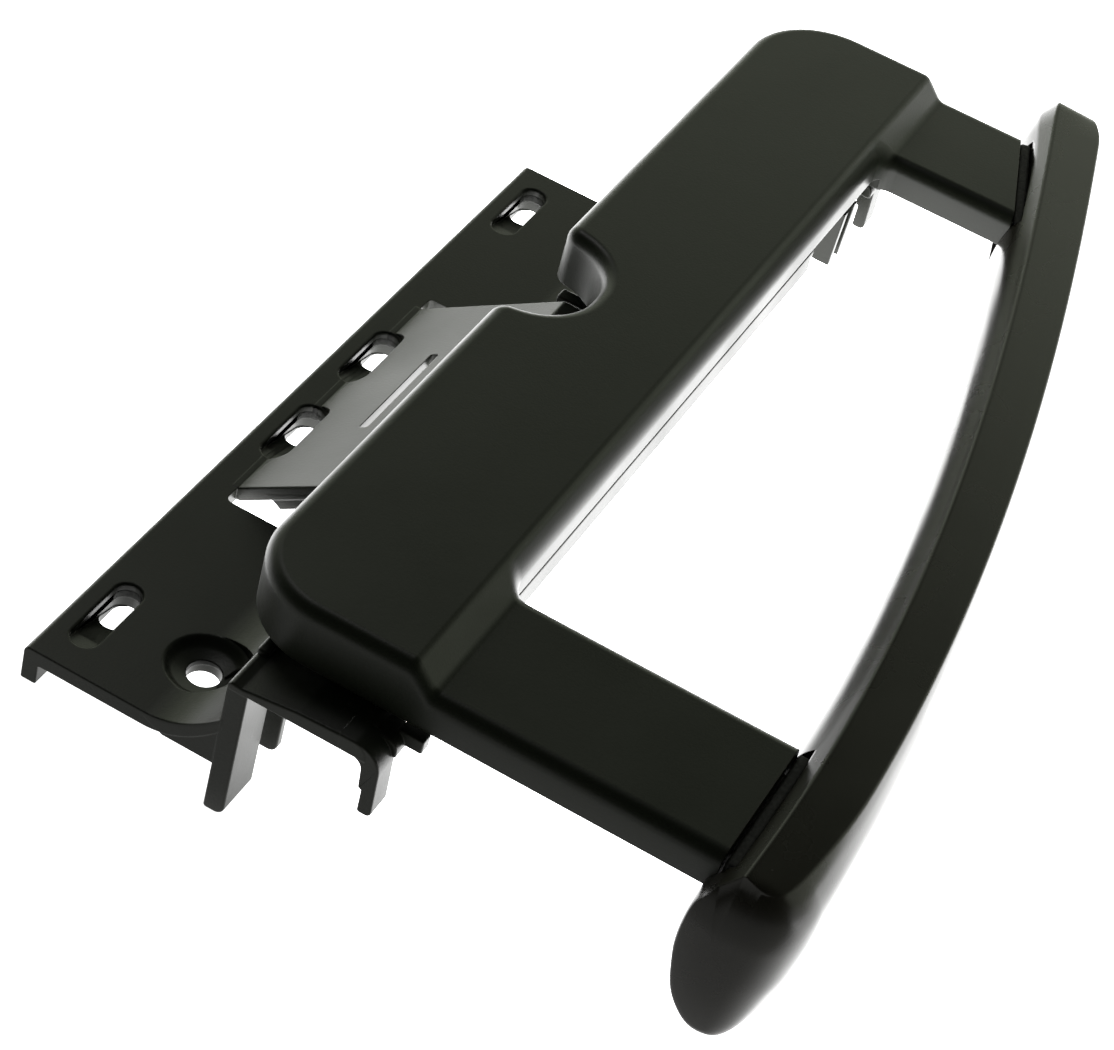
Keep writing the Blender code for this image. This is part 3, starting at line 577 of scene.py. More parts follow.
def boxes_meet(one, other):
    spans = []
    for item in (one, other):
        corners = [Vector(corner) for corner in item.bound_box]
        spans.append([(min(c[i] for c in corners), max(c[i] for c in corners)) for i in range(3)])
    return all(a[0] < b[1] and b[0] < a[1] for a, b in zip(*spans))


def carved(name, shells, cutters):
    """One object from closed shells that overlap, each one cut by the cutters that reach it."""
    bpy.context.view_layer.update()
    whole = bmesh.new()
    for shell in shells:
        near = [cutter for cutter in cutters if boxes_meet(shell, cutter)]
        if near:
            cut(shell, *near)
            apply_modifiers(shell)
        whole.from_mesh(shell.data)
    remove([*shells, *cutters])
    mesh = bpy.data.meshes.new(name)
    whole.to_mesh(mesh)
    whole.free()
    return put(name, mesh)


def dress(item, node, slot):
    """Smooths a piece, gives it its material, and lets it stand for its CAD node."""
    if item.type == "MESH":
        if item.modifiers:
            settle(item)
        item.data.materials.clear()
        item.data.shade_smooth()
        item.data.set_sharp_from_angle(angle=math.radians(SHARP_ANGLE))
        weighted = item.modifiers.new("weighted_normals", "WEIGHTED_NORMAL")
        weighted.keep_sharp = True
    item.name = "fine_" + node
    item.data.name = item.name
    item.data.materials.append(MATERIALS[slot])
    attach(item, BODY_OF[node])
    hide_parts(node)
    return item


# Mounting bracket


def both_ends(low, high):
    return ((low, high), (PLATE_LENGTH - high, PLATE_LENGTH - low))


def rise(x):
    """How far the plate's top has climbed at x: flat, then a hollow curve up to the channel."""
    return 7.4 * max(0.0, (x - 20.5) / 13.1) ** 2


def plate_profile():
    """The plate's section: a downward flange with a rounded shoulder, the flat, and the rise."""
    climb = [(20.5 + 13.1 * i / 14, rise(20.5 + 13.1 * i / 14)) for i in range(15)]
    under = [(x, z - PLATE_THICK) for x, z in reversed(climb)]
    inside = [(10.0, -PLATE_THICK, 0), (FLANGE_HALF, -PLATE_THICK, 0.5), (FLANGE_HALF, FLANGE_LOW, 0.35)]
    outside = [(-FLANGE_HALF, FLANGE_LOW, 0.35), (-FLANGE_HALF, 0.0, 1.15), (10.0, 0.0, 0)]
    return climb + under + rounded(inside + outside, steps=5)


def web_profile():
    """The channel's top: a rounded left rim, a slightly crowned web and a rounded right shoulder."""
    left = [(33.2, WEB_LOW, 0), (33.2, 15.5, 0.7), (35.4, 15.1, 0.8), (45.0, 16.5, 6.0)]
    return rounded([*left, (WEB_RIGHT, WEB_TOP + 0.1, 2.5), (WEB_RIGHT, WEB_LOW, 0)])


def shoulder_profile():
    outside = [(52.0, WEB_LOW + 0.3, 0), (52.0, WEB_TOP - 0.15, 0), (59.3, WEB_TOP - 0.05, 4.4)]
    foot = [(59.8, SHOULDER_LOW, 0.9), (57.4, SHOULDER_LOW, 0.5)]
    inside = [(57.3, 8.2, 0.2), (56.7, 8.6, 0.2), (56.3, WEB_LOW, 2.0)]
    return rounded(outside + foot + inside)


def side_shoulder_profile():
    low, high = WEB_LOW - 0.3, WEB_TOP - 0.4
    return rounded([(50.0, low, 0), (50.0, high, 0), (59.9, high + 0.1, 2.2), (59.9, low, 0.4)])


def screw_holes():
    """Bosses for the two screw holes, and the cutters of the holes with their soft-rimmed dishes."""
    bosses, cutters = [], []
    for y in (MIDDLE_Y - SCREW_HOLE[1], MIDDLE_Y + SCREW_HOLE[1]):
        centre = (SCREW_HOLE[0], y)
        bosses.append(turned("boss", centre, [(5.6, -4.4), (5.9, -4.1), (6.4, -1.9)], "z"))
        cutters.append(turned("hole_cutter", centre, [(SCREW_HOLE_R, -9), *DISH, (7.0, 9)], "z"))
    return bosses, cutters


def slot_outline(y, length, width):
    bend = width / 2 - 0.02
    return rounded([(*c, bend) for c in rectangle(span(SLOT_X, width), span(y, length))], 7)


def span(middle, length):
    return middle - length / 2, middle + length / 2


def clip_slots():
    """Collars under the plate, the cutters of their slots, and the stepped ledges inside them."""
    collars, cutters, ledges = [], [], []
    for offset in SLOT_OFFSETS:
        for y in (MIDDLE_Y - offset, MIDDLE_Y + offset):
            collar = rectangle(span(SLOT_X, SLOT_WIDTH + 2.6), span(y, SLOT_LENGTH + 2.5), 2.2)
            collars.append(eased("slot_collar", collar, -5.0, -1.5, ease=0.4))
            through = slot_outline(y + SLOT_LENGTH / 4, SLOT_LENGTH / 2 - 0.3, SLOT_WIDTH - 0.3)
            cutters.append(prism("slot_cutter", through, -9, 11))
            lead = slot_outline(y, SLOT_LENGTH, SLOT_WIDTH)
            deep = [(x, p, -0.6 + min(0, (y - SLOT_LENGTH / 2 - p) * 0.27)) for x, p in lead]
            rims = [(0.0, -0.5), (-0.06, -0.26), (-0.24, -0.06), (-0.5, 0.01), (-0.5, 12)]
            above = [[(x, p, z) for x, p in inset(lead, out)] for out, z in rims]
            cutters.append(loft("lead_in_cutter", [deep, *above]))
            for reach, low in ((1.0, -4.2), (1.9, -4.9)):
                across = (SLOT_X + 2.9 - reach, SLOT_X + 3.2)
                along = (y + 0.6, y + 7.2 - reach * 1.6)
                ledges.append(block("slot_ledge", across, along, (low, low + 1.3), 0.2))
    return collars, cutters, ledges


def ramp():
    """The louvre that climbs out of the plate's window to the channel, with end ribs and a slit along it."""
    low, high = MIDDLE_Y - RAMP_HALF, MIDDLE_Y + RAMP_HALF
    above = [(CREASE_X - 1.0, -0.02, 0), (CREASE_X, -0.02, 0.3), (*RAMP_TOP, 1.2), (34.6, RAMP_TOP[1], 0)]
    below = [(34.6, WEB_LOW + 0.1, 0), (31.0, WEB_LOW + 0.1, 0.6)]
    below += [(CREASE_X + 0.8, -2.6, 0), (CREASE_X - 1.0, -2.6, 0)]
    parts = [eased("ramp_sheet", rounded(above + below), low, high, "y")]
    rib = [(10.0, 1.8), (31.5, 15.0), (31.5, 12.2), (13.0, 0.0)]
    for y in (low + 0.05, high - 2.45):
        parts.append(eased("ramp_rib", rib, y, y + 2.4, "y"))
    return parts, prism("ramp_slit_cutter", rectangle((15.6, 17.0), (71.0, 96.0), 0.5), -2, 14)


def end_legs():
    """Deep legs at the plate's two ends and the shoulders at the channel's two ends."""
    legs = []
    leg = rounded([(33.0, LEG_LOW, 0.6), (36.6, LEG_LOW, 1.6), (36.6, 15.0, 0), (33.0, 15.2, 0.6)])
    for low, high in both_ends(0.0, LEG_RUN):
        legs.append(eased("deep_leg", leg, low, high, "y", 0.35))
    climb = [(20.5 + 12.9 * i / 8, rise(20.5 + 12.9 * i / 8) - 0.35) for i in range(9)]
    filler = [*climb, (33.4, -PLATE_THICK), (24.0, -PLATE_THICK), (20.5, -1.0)]
    for low, high in both_ends(0.08, 3.0):
        legs.append(eased("end_filler", filler, low, high, "y"))
    for low, high in ((0.05, 5.0), (CHANNEL_END - 5.0, CHANNEL_END - 0.03)):
        legs.append(eased("end_shoulder", shoulder_profile(), low, high, "y"))
    for low, high in ((4.0, 9.0), (CHANNEL_END - 9.0, CHANNEL_END - 4.0)):
        legs.append(eased("side_shoulder", side_shoulder_profile(), low, high, "y"))
    for low, high in both_ends(7.7, 12.7):
        legs.append(block("rim_step", (33.06, 35.0), (low, high), (14.2, 16.2), 0.6))
    return legs


def channel_walls():
    """The web, the upright that joins it to the plate, and the raised wall under the handle's inner side."""
    walls = [eased("channel_web", web_profile(), 0.02, CHANNEL_END, "y", 0.4)]
    for low, high in both_ends(4.0, MIDDLE_Y - WINDOW_HALF - 0.1):
        walls.append(block("upright", (33.12, 35.6), (low, high), (1.5, 14.7)))
    for y in ((160.0, 174.5), (183.5, CHANNEL_END)):
        walls.append(block("far_upright", (33.12, 35.6), y, (4.0, 14.7)))
    left, right = WALL_X
    foot = [(left, WEB_LOW + 0.15, 0), (right, WEB_LOW + 0.15, 0.8)]
    crown = [(right, RAISED_WALL_TOP, 0.6), (left, RAISED_WALL_TOP, 0.6)]
    walls.append(eased("raised_wall", rounded(foot + crown), *RAISED_WALL_Y, "y", 0.5))
    walls.append(block("wall_foot", (54.0, 58.2), (37.5, 155.7), (WEB_LOW + 0.25, 16.2)))
    walls.append(block("locating_lug", (58.5, 62.8), (6.4, 8.9), (14.3, 16.9)))
    walls.append(block("notch_lug", (28.4, 34.0), (115.2, 118.0), (13.0, 15.6)))
    return walls


def stiffening_ribs():
    """Cross ribs under the web, among them the pair that holds the release lever."""
    ribs = []
    for y, right, low in ((12.0, 38.0, -7.6), (15.4, 39.9, -1.8)):
        corners = [(34.0, low, 0.3), (right, low, 1.6), (right, WEB_LOW + 1, 0), (34.0, WEB_LOW + 0.8, 0)]
        ribs.append(eased("near_rib", rounded(corners), y, y + 1.6, "y", 0.25))
    outline = [(34.0, 8.0), (38.0, 6.5), (56.5, 9.5), (56.5, WEB_LOW + 1), (34.0, WEB_LOW + 1)]
    for y in (48.2, 80.0, 112.0, 144.0):
        ribs.append(eased("cross_rib", outline, y, y + 1.8, "y", 0.25))
    fork = hull(circle(LEVER_AXIS, 4.2) + [(34.5, 14.8), (58.8, 14.8), (58.7, 2.7), (56.0, 2.7)])
    for low, high in LEVER_RIBS:
        ribs.append(eased("fork_rib", fork, low, high, "y", 0.2))
    return ribs


def hinge_ears():
    ears = []
    outline = hull(circle(HINGE_AXIS, LUG_R) + [(33.6, 14.6), (40.2, 14.6), (40.2, 17.4)])
    for start in HINGES.values():
        for low in (start, start + HINGE_SPAN - EAR_THICK):
            ears.append(eased("hinge_ear", outline, low, low + EAR_THICK, "y"))
    return ears


def bore(name, centre, radius, low, high, axis="y"):
    return turned(name, centre, [(radius, low), (radius, high)], axis)


def hinge_bores(name, radius):
    """A cutter through each hinge, past its ears."""
    return [bore(name, HINGE_AXIS, radius, start - 5, start + HINGE_SPAN + 5) for start in HINGES.values()]


def bracket_bores():
    """Cutters for the pins' and buffers' holes, and for the slots that the pull's hook moves in."""
    cutters = hinge_bores("ear_bore_cutter", PIN_R + RUNNING_GAP)
    for _, y in BUFFERS:
        cutters.append(bore("buffer_hole_cutter", (BUFFER_X, y), 2.6, 8, 20, "z"))
    for y in ((58.0, 60.4), (96.0, 98.4)):
        cutters.append(box("wall_slit_cutter", (59.2, 61.0), y, (12.0, 14.6)))
    slot_y = (LEVER_Y[0] - CLEARANCE, LEVER_Y[1] + CLEARANCE)
    cutters.append(box("hook_slot_cutter", (47.5, 61.0), slot_y, (9, 20)))
    cutters.append(box("lever_relief_cutter", (39.5, 48.0), slot_y, (9, 15.0)))
    cutters.append(bore("lever_bore_cutter", LEVER_AXIS, LEVER_PIN_R + RUNNING_GAP, 170, 188))
    return cutters


def mounting_bracket():
    plate = eased("plate", plate_profile(), 0.0, PLATE_LENGTH, "y", 0.25)
    window_y = (MIDDLE_Y - WINDOW_HALF, MIDDLE_Y + WINDOW_HALF)
    cut(plate, prism("window_cutter", rectangle((CREASE_X, 40.0), window_y, 1.0), -9, 12.5))
    settle(plate)
    ramp_parts, slit = ramp()
    collars, slot_cutters, ledges = clip_slots()
    bosses, hole_cutters = screw_holes()
    shells = [plate, *ramp_parts, *collars, *bosses]
    shells += channel_walls() + end_legs() + stiffening_ribs() + hinge_ears()
    bracket = carved("bracket", shells, [slit, *slot_cutters, *hole_cutters, *bracket_bores()])
    return dress(carved("bracket", [bracket, *ledges], []), "mounting_bracket", "bracket_plastic")


# Pieces on the bracket


def hinge_pins():
    """A headed pin through each pair of ears, held by a push-on ring in its groove."""
    for side, start in HINGES.items():
        seat, end = start - CLEARANCE, start + HINGE_SPAN
        head = [(3.1, start - 1.9), (3.6, start - 1.5), (3.6, seat), (PIN_R, seat), (PIN_R, end + 0.6)]
        groove = [(PIN_R - 0.4, end + 0.6), (PIN_R - 0.4, end + 1.5)]
        tail = [(PIN_R, end + 1.5), (PIN_R, end + 2.3), (PIN_R - 0.6, end + 2.8)]
        pin = turned("pin", HINGE_AXIS, softened(head + groove + tail, 0.15), "y")
        dress(pin, "hinge_pin_" + side, "plated_steel")
        retaining_ring("hinge_pin_ring_" + side, HINGE_AXIS, end + 0.7, 3.6, 1.75)


def retaining_ring(node, centre, y, outer, inner):
    """A flat open ring that clips into a pin's groove."""
    gap = math.radians(35)
    count = 36
    turns = [gap + (2 * math.pi - 2 * gap) * i / count for i in range(count + 1)]

    def arc(radius):
        return [(centre[0] + radius * math.cos(t), centre[1] + radius * math.sin(t)) for t in turns]

    ring = eased("ring", arc(outer) + arc(inner)[::-1], y, y + 0.7, "y", 0.12)
    dress(ring, node, "spring_steel")


def stop_buffers():
    """Push-in rubber buffers that the closed handle rests on."""
    for side, y in BUFFERS:
        seat = WEB_TOP + CLEARANCE
        barb = [(1.6, 10.2), (3.0, 11.4), (3.0, 12.6), (2.2, 13.4), (2.2, seat)]
        pad = [(4.3, seat), (4.5, 18.4), (3.6, FRAME_LOW - CLEARANCE)]
        buffer = turned("buffer", (BUFFER_X, y), softened(barb + pad, 0.3), "z")
        dress(buffer, "stop_buffer_" + side, "black_rubber")


def return_spring():
    """A torsion spring round the near hinge pin: one leg on the web, the other on the handle frame."""
    wire, mean, coils, steps_a_turn = 0.65, 3.1, 5.0, 36
    start = HINGES["near"] + EAR_THICK + LUG_LONG + 1.9
    pitch = 2 * wire + 0.25
    path = [(AXIS_X + 7.0, start, AXIS_Z - mean), (AXIS_X + 2.5, start, AXIS_Z - mean)]
    for i in range(int((coils + 0.5) * steps_a_turn) + 1):
        turn = -math.pi / 2 - 2 * math.pi * i / steps_a_turn
        along = start + pitch * i / steps_a_turn
        path.append((AXIS_X + mean * math.cos(turn), along, AXIS_Z + mean * math.sin(turn)))
    end = path[-1][1]
    path += [(AXIS_X + 4.0, end, AXIS_Z + mean - 0.7), (AXIS_X + 9.2, end, FRAME_HIGH + 1.0)]
    data = bpy.data.curves.new("spring", "CURVE")
    data.dimensions = "3D"
    data.bevel_depth = wire * MM
    data.bevel_resolution = 4
    data.use_fill_caps = True
    spline = data.splines.new("POLY")
    spline.points.add(len(path) - 1)
    for point, where in zip(spline.points, path):
        point.co = (*place(*where), 1.0)
    dress(put("spring", data), "return_spring", "spring_steel")


def lever_pin():
    seat, end = LEVER_RIBS[0][0] - CLEARANCE, LEVER_RIBS[1][1] + 0.5
    head = [(2.1, seat - 1.3), (2.6, seat - 1.0), (2.6, seat), (LEVER_PIN_R, seat), (LEVER_PIN_R, end)]
    groove = [(LEVER_PIN_R - 0.35, end), (LEVER_PIN_R - 0.35, end + 0.9)]
    tail = [(LEVER_PIN_R, end + 0.9), (LEVER_PIN_R, end + 1.5), (LEVER_PIN_R - 0.5, end + 1.9)]
    dress(turned("pin", LEVER_AXIS, softened(head + groove + tail, 0.12), "y"), "lever_pin", "plated_steel")
    retaining_ring("lever_pin_ring", LEVER_AXIS, end + 0.1, 2.9, 1.3)


def lever_eye():
    return LEVER_AXIS[0] + EYE_SHIFT[0], LEVER_AXIS[1] + EYE_SHIFT[1]


def release_lever():
    """A flat bell crank: the handle's hook lifts its tip, and the cable eye on its lower arm swings."""
    x, z = LEVER_AXIS
    hub = circle(LEVER_AXIS, LEVER_HUB_R)
    lever = eased("lever", hull(hub + circle((x + 12.0, z - 0.4), 1.5)), *LEVER_Y, "y", 0.2)
    join(lever, eased("lever_arm", hull(hub + circle(lever_eye(), 3.0)), *LEVER_Y, "y", 0.2))
    ends = (LEVER_Y[0] - 2, LEVER_Y[1] + 2)
    cut(lever, bore("pin_bore_cutter", LEVER_AXIS, LEVER_PIN_R + RUNNING_GAP, *ends))
    cut(lever, bore("eye_bore_cutter", lever_eye(), 1.6, *ends))
    dress(lever, "release_lever", "plated_steel")


def cable_nipple_clip():
    """The plastic snap clip in the lever's eye, which takes a cable end."""
    x, z = lever_eye()
    profile = [(2.6, 175.6), (2.6, 177.7), (1.3, 177.7), (1.3, 180.3), (2.0, 180.4), (1.2, 181.4)]
    clip = turned("clip", (x, z), [(2.35, 175.4), *softened(profile, 0.15)], "y")
    cut(clip, box("nipple_slot_cutter", (x - 0.8, x + 0.8), (175.0, 177.0), (z - 4, z + 4)))
    dress(clip, "cable_nipple_clip", "bush_acetal")


# Handle cover and frame


def end_line(start, end):
    """An arm's end: its first corner, unit steps along it and out of it, and its length."""
    start, end = Vector(start), Vector(end)
    along = (end - start).normalized()
    return start, along, Vector((along.y, -along.x)), (end - start).length


ARM_ENDS = {
    "near": end_line((NEAR_ARM_END, COVER_NEAR), (NEAR_ARM_END, NEAR_ARM_INNER)),
    "far": end_line((87.0, FAR_ARM_INNER), (78.2, COVER_FAR)),
}


def cover_outline():
    """The cover's plan, with the arms run on past their ends, where they are cut off square."""
    start, along, out, length = ARM_ENDS["far"]
    far = start + out * RUN_ON
    far_tip = far + along * length
    near_x = NEAR_ARM_END + RUN_ON
    corners = [(COVER_LEFT, COVER_NEAR, NEAR_CORNER_R), (near_x, COVER_NEAR, 3.4)]
    corners += [(near_x, NEAR_ARM_INNER, 3.4), (INNER_X, NEAR_ARM_INNER, 3.5)]
    corners += [(INNER_X, FAR_ARM_INNER, 3.5), (far.x + 1.7, FAR_ARM_INNER, 3.4)]
    corners += [(far_tip.x - 1.7, COVER_FAR, 3.4), (COVER_LEFT, COVER_FAR, FAR_CORNER_R)]
    notch_x = COVER_LEFT + 12.2
    corners += [(COVER_LEFT, NOTCH_Y + 12.2, 3.2), (notch_x, NOTCH_Y + 9.7, 10.8)]
    corners += [(notch_x, NOTCH_Y - 9.7, 10.8), (COVER_LEFT, NOTCH_Y - 12.4, 3.4)]
    return rounded(corners, 14)


def cover_shell():
    """Nested rings: down the inside, round the bottom edge, up the outer wall and round the top fillet."""
    outline = cover_outline()

    def ring(distance, z):
        return [(x, y, z) for x, y in inset(outline, distance)]

    lip = 0.3
    rings = [ring(WALL, COVER_TOP - WALL), ring(WALL, COVER_LOW + lip)]
    rings += [ring(WALL - lip, COVER_LOW), ring(lip, COVER_LOW), ring(0.09, COVER_LOW + 0.09)]
    rings += [ring(0.0, COVER_LOW + lip), ring(0.0, COVER_TOP - FILLET - 1.0)]
    for step in range(FILLET_STEPS + 1):
        turn = math.radians(90 * step / FILLET_STEPS)
        sideways, up = FILLET * (1 - math.cos(turn)), FILLET * math.sin(turn)
        rings.append(ring(sideways, COVER_TOP - FILLET + up))
    return loft("handle_cover", rings)


def fold_drop(x):
    """How far the top has come down at x: a straight slope between two softened creases."""

    def past(crease):
        beyond = x - crease
        if abs(beyond) >= FOLD_SOFTNESS:
            return max(0.0, beyond)
        return (beyond + FOLD_SOFTNESS) ** 2 / (4 * FOLD_SOFTNESS)

    slope = (COVER_TOP - ARM_TOP) / (FOLD_X[1] - FOLD_X[0])
    return slope * (past(FOLD_X[0]) - past(FOLD_X[1]))


def lower_arms(item):
    """Bends the top down to the arms' height: everything above the walls steps down across the fold."""
    shape = bmesh.new()
    shape.from_mesh(item.data)
    for crease in FOLD_X:
        for step in range(-4, 5):
            x = crease + FOLD_SOFTNESS * step / 4
            everything = shape.verts[:] + shape.edges[:] + shape.faces[:]
            bmesh.ops.bisect_plane(shape, geom=everything, plane_co=place(x, 0, 0), plane_no=(1, 0, 0))
    walls_end = place(0, 0, COVER_LOW + 1.0).z
    for vert in shape.verts:
        if vert.co.z > walls_end:
            vert.co.z -= fold_drop(vert.co.x / MM + ORIGIN[0]) * MM
    shape.to_mesh(item.data)
    shape.free()


def end_outline(line, out, along, radius=0.0):
    """A flat box outline placed from an arm's end: out from its face, and along it."""
    start, step, normal, _ = line
    return [tuple(start + normal * a + step * b) for a, b in rectangle(out, along, radius)]


def end_block(name, line, out, along, z):
    return prism(name, end_outline(line, out, along), *z)


def handle_cover():
    cover = cover_shell()
    lower_arms(cover)
    relief_y = (NEAR_ARM_INNER + 1, FAR_ARM_INNER - 0.6)
    cutters = [box("wall_relief_cutter", (50.0, 61.0), relief_y, (10, INNER_WALL_LOW))]
    for line in ARM_ENDS.values():
        cutters.append(end_block("arm_end_cutter", line, (0, 20), (-9, line[3] + 9), (10, 40)))
    post = [(2.4, 22.1), (2.6, 22.3), (2.75, 26.6)]
    join(cover, *[turned("screw_post", centre, post, "z") for centre in SCREW_POSTS])
    cutters += [bore("post_hole_cutter", centre, 1.1, 20, 26.3, "z") for centre in SCREW_POSTS]
    cut(cover, *cutters)
    return dress(cover, "handle_cover", "cover_plastic")


def handle_frame():
    """The stiff inner frame: a plate with ribs, four hinge lugs, the pull hook and a tongue into each arm."""
    outline = inset(cover_outline(), WALL + CLEARANCE)
    frame_plate = eased("frame_plate", outline, FRAME_LOW, FRAME_HIGH, ease=0.2)
    wall_gap = (INNER_X - WALL - CLEARANCE, 72)
    trims = [box("frame_edge_cutter", (10, FRAME_LEFT), (0, 220), (10, 30))]
    trims.append(box("wall_gap_cutter", wall_gap, (33.0, 187.4), (10, 30)))
    parts = []
    for line in ARM_ENDS.values():
        trims.append(end_block("end_cutter", line, (-CLEARANCE, 20), (-9, line[3] + 9), (10, 40)))
        tongue = end_outline(line, (-5.4, 8.5), (4.6, line[3] - 4.6), 0.5)
        parts.append(eased("tongue", tongue, TONGUE_LOW, 21.7, ease=0.25))
    cut(frame_plate, *trims)
    parts.append(block("near_arm_block", (60.8, 106.0), (12.6, 31.2), (TONGUE_LOW, FRAME_HIGH - 0.02)))
    parts.append(block("far_arm_block", (60.8, 77.0), (190.0, 206.6), (TONGUE_LOW, FRAME_HIGH - 0.02)))
    for x in (43.2, 55.0):
        parts.append(block("long_rib", (x, x + 1.8), (14.0, 205.0), (21.0, RIB_HIGH), 0.25))
    for y in (62.0, 98.0, 114.0, 150.0):
        parts.append(block("short_rib", (43.2, 56.8), (y, y + 1.8), (21.0, RIB_HIGH), 0.25))
    lug = hull(circle(HINGE_AXIS, LUG_R) + [(44.5, FRAME_LOW), (44.5, RIB_HIGH)])
    for start in HINGES.values():
        for low in lug_starts(start):
            parts.append(eased("hinge_lug", lug, low, low + LUG_LONG, "y"))
    shank = [(50.0, 21.0, 0), (55.0, 21.0, 0), (53.7, 15.0, 3.0), (53.7, 5.0, 0.5)]
    foot = [(45.0, 5.0, 0.5), (45.0, 6.7, 0.5), (51.9, 6.7, 0.6), (51.9, 15.0, 2.0)]
    hook = rounded(shank + foot, 5)
    parts.append(eased("pull_hook", hook, LEVER_Y[0] + 0.1, LEVER_Y[1] - 0.1, "y", 0.2))
    join(frame_plate, *parts)
    bores = [bore("screw_bore_cutter", centre, 1.6, 18, 28, "z") for centre in SCREW_POSTS]
    bores += hinge_bores("lug_bore_cutter", BUSH_R + 0.05)
    for line in ARM_ENDS.values():
        bores.append(bore("tongue_bore_cutter", grip_screw_at(line), 1.3, 16, 24, "z"))
    cut(frame_plate, *bores)
    dress(frame_plate, "handle_frame", "frame_nylon")


def lug_starts(start):
    return (start + EAR_THICK + 0.7, start + HINGE_SPAN - EAR_THICK - 0.7 - LUG_LONG)


def hinge_bushes():
    """Flanged bearing bushes pressed into the frame's lugs from the ear side."""
    for side, start in HINGES.items():
        for letter, low, outward in zip("ab", lug_starts(start), (-1, 1)):
            face = low + LUG_LONG * (outward > 0)
            steps = ((BUSH_R, 0.4 - LUG_LONG), (BUSH_R, 0.02), (3.7, 0.05), (3.7, 0.5))
            profile = [(radius, face + outward * out) for radius, out in steps]
            bush = turned("bush", HINGE_AXIS, softened(profile, 0.1), "y")
            ends = (low - 3, low + LUG_LONG + 3)
            cut(bush, bore("bush_bore_cutter", HINGE_AXIS, PIN_R + RUNNING_GAP, *ends))
            dress(bush, f"hinge_bush_{side}_{letter}", "bush_acetal")


def pan_screw(node, centre, seat, tip):
    """A pan-head screw driven upwards, with a cross recess in its head."""
    x, y = centre
    head = [(1.7, seat - 1.6), (2.45, seat - 1.35), (2.75, seat - 1.0), (2.8, seat), (1.15, seat)]
    shank = [(1.15, tip - 0.6), (0.5, tip)]
    screw = turned("screw", centre, softened(head + shank, 0.2), "z")
    recess = box("recess_cutter", span(x, 0.7), span(y, 2.4), (seat - 2.4, seat - 0.6))
    join(recess, box("recess_arm_cutter", span(x, 2.4), span(y, 0.7), (seat - 2.4, seat - 0.6)))
    cut(screw, recess)
    dress(screw, node, "plated_steel")


# Grip


def ridge_at(t):
    """A point on the grip's ridge and the unit step along it."""
    a, b, c, d = (Vector(point) for point in RIDGE_CURVE)
    s = 1 - t
    point = a * s**3 + b * 3 * s * s * t + c * 3 * s * t * t + d * t**3
    slope = (b - a) * 3 * s * s + (c - b) * 6 * s * t + (d - c) * 3 * t * t
    return point, slope.normalized()


def creased(start, corner, end, reach):
    """A crease at corner rounded off: a few points on an arc from one side to the other."""
    start, corner, end = Vector(start), Vector(corner), Vector(end)
    first = corner + (start - corner).normalized() * reach
    last = corner + (end - corner).normalized() * reach
    steps = [i / 4 for i in range(5)]
    return [tuple(first * (1 - t) ** 2 + corner * 2 * t * (1 - t) + last * t * t) for t in steps]


def grip_section(t, distance):
    """The grip's section at t as (outwards, height) points: three creases with smooth runs between them."""
    endward = abs(2 * t - 1) ** 3
    bevel = 0.8 + 2.6 * endward
    width = 8.4 + 1.6 * t
    fuller = (1 - t) ** 4
    ridge = (0.0, RIDGE_Z)
    rim = (rim_out(t, distance), 25.3)
    fullest = width + 0.8 + 2.3 * fuller
    bevel_foot = (-bevel, RIDGE_Z - 1.1 * bevel)
    flank = (-4.8 - 1.2 * fuller, 18.5)
    out, up = (Vector(bevel_foot) + Vector(flank)) / 2
    shoulder = (out - 0.6 * (1 - endward), up + 0.9 * (1 - endward))
    belly = [
        (rim[0] + 0.45 * (fullest - rim[0]), 23.4),
        (rim[0] + 0.87 * (fullest - rim[0]), 20.4),
        (fullest, 16.5),
        (width + 0.75 + 2.0 * fuller, 11.5),
        (width + 0.1 + 1.5 * fuller, 5.5),
        (6.2 + 0.7 * fuller, -2.6 - 0.8 * fuller),
        (1.9 - 0.6 * fuller, -4.8 - 0.9 * fuller),
        (-2.9 - 0.9 * fuller, -0.6 - 0.6 * fuller),
        (-4.8 - 1.3 * fuller, 6.5),
        (-5.2 - 1.4 * fuller, 12.5),
        flank,
        shoulder,
    ]
    run = curve_through([rim, *belly, bevel_foot], SECTION_STEPS)
    top = creased(bevel_foot, ridge, rim, 0.5)
    edge = creased(ridge, rim, run[3], 0.4)
    foot = creased(run[-3], bevel_foot, ridge, 0.4)
    side = [tuple(Vector(ridge).lerp(Vector(rim), f)) for f in (0.3, 0.5, 0.7)]
    return top + side + edge + run[3:-3] + foot


def end_fullness(distance, reach, least=0.0):
    """How full the section is near an end: from its least share up to 1, on a quarter ellipse."""
    if distance >= reach:
        return 1.0
    return least + (1 - least) * math.sqrt(max(0.0, 1 - (1 - distance / reach) ** 2))


def rim_out(t, distance):
    """How far out the rim of the grip's top face is: it narrows towards the near end."""
    corner = 2.2 * (1 - end_fullness(distance, RIM_CORNER_REACH))
    return 8.05 + 1.6 * t - 2.2 * max(0.0, 1 - distance / NEAR_TAPER_REACH) ** 1.5 - corner


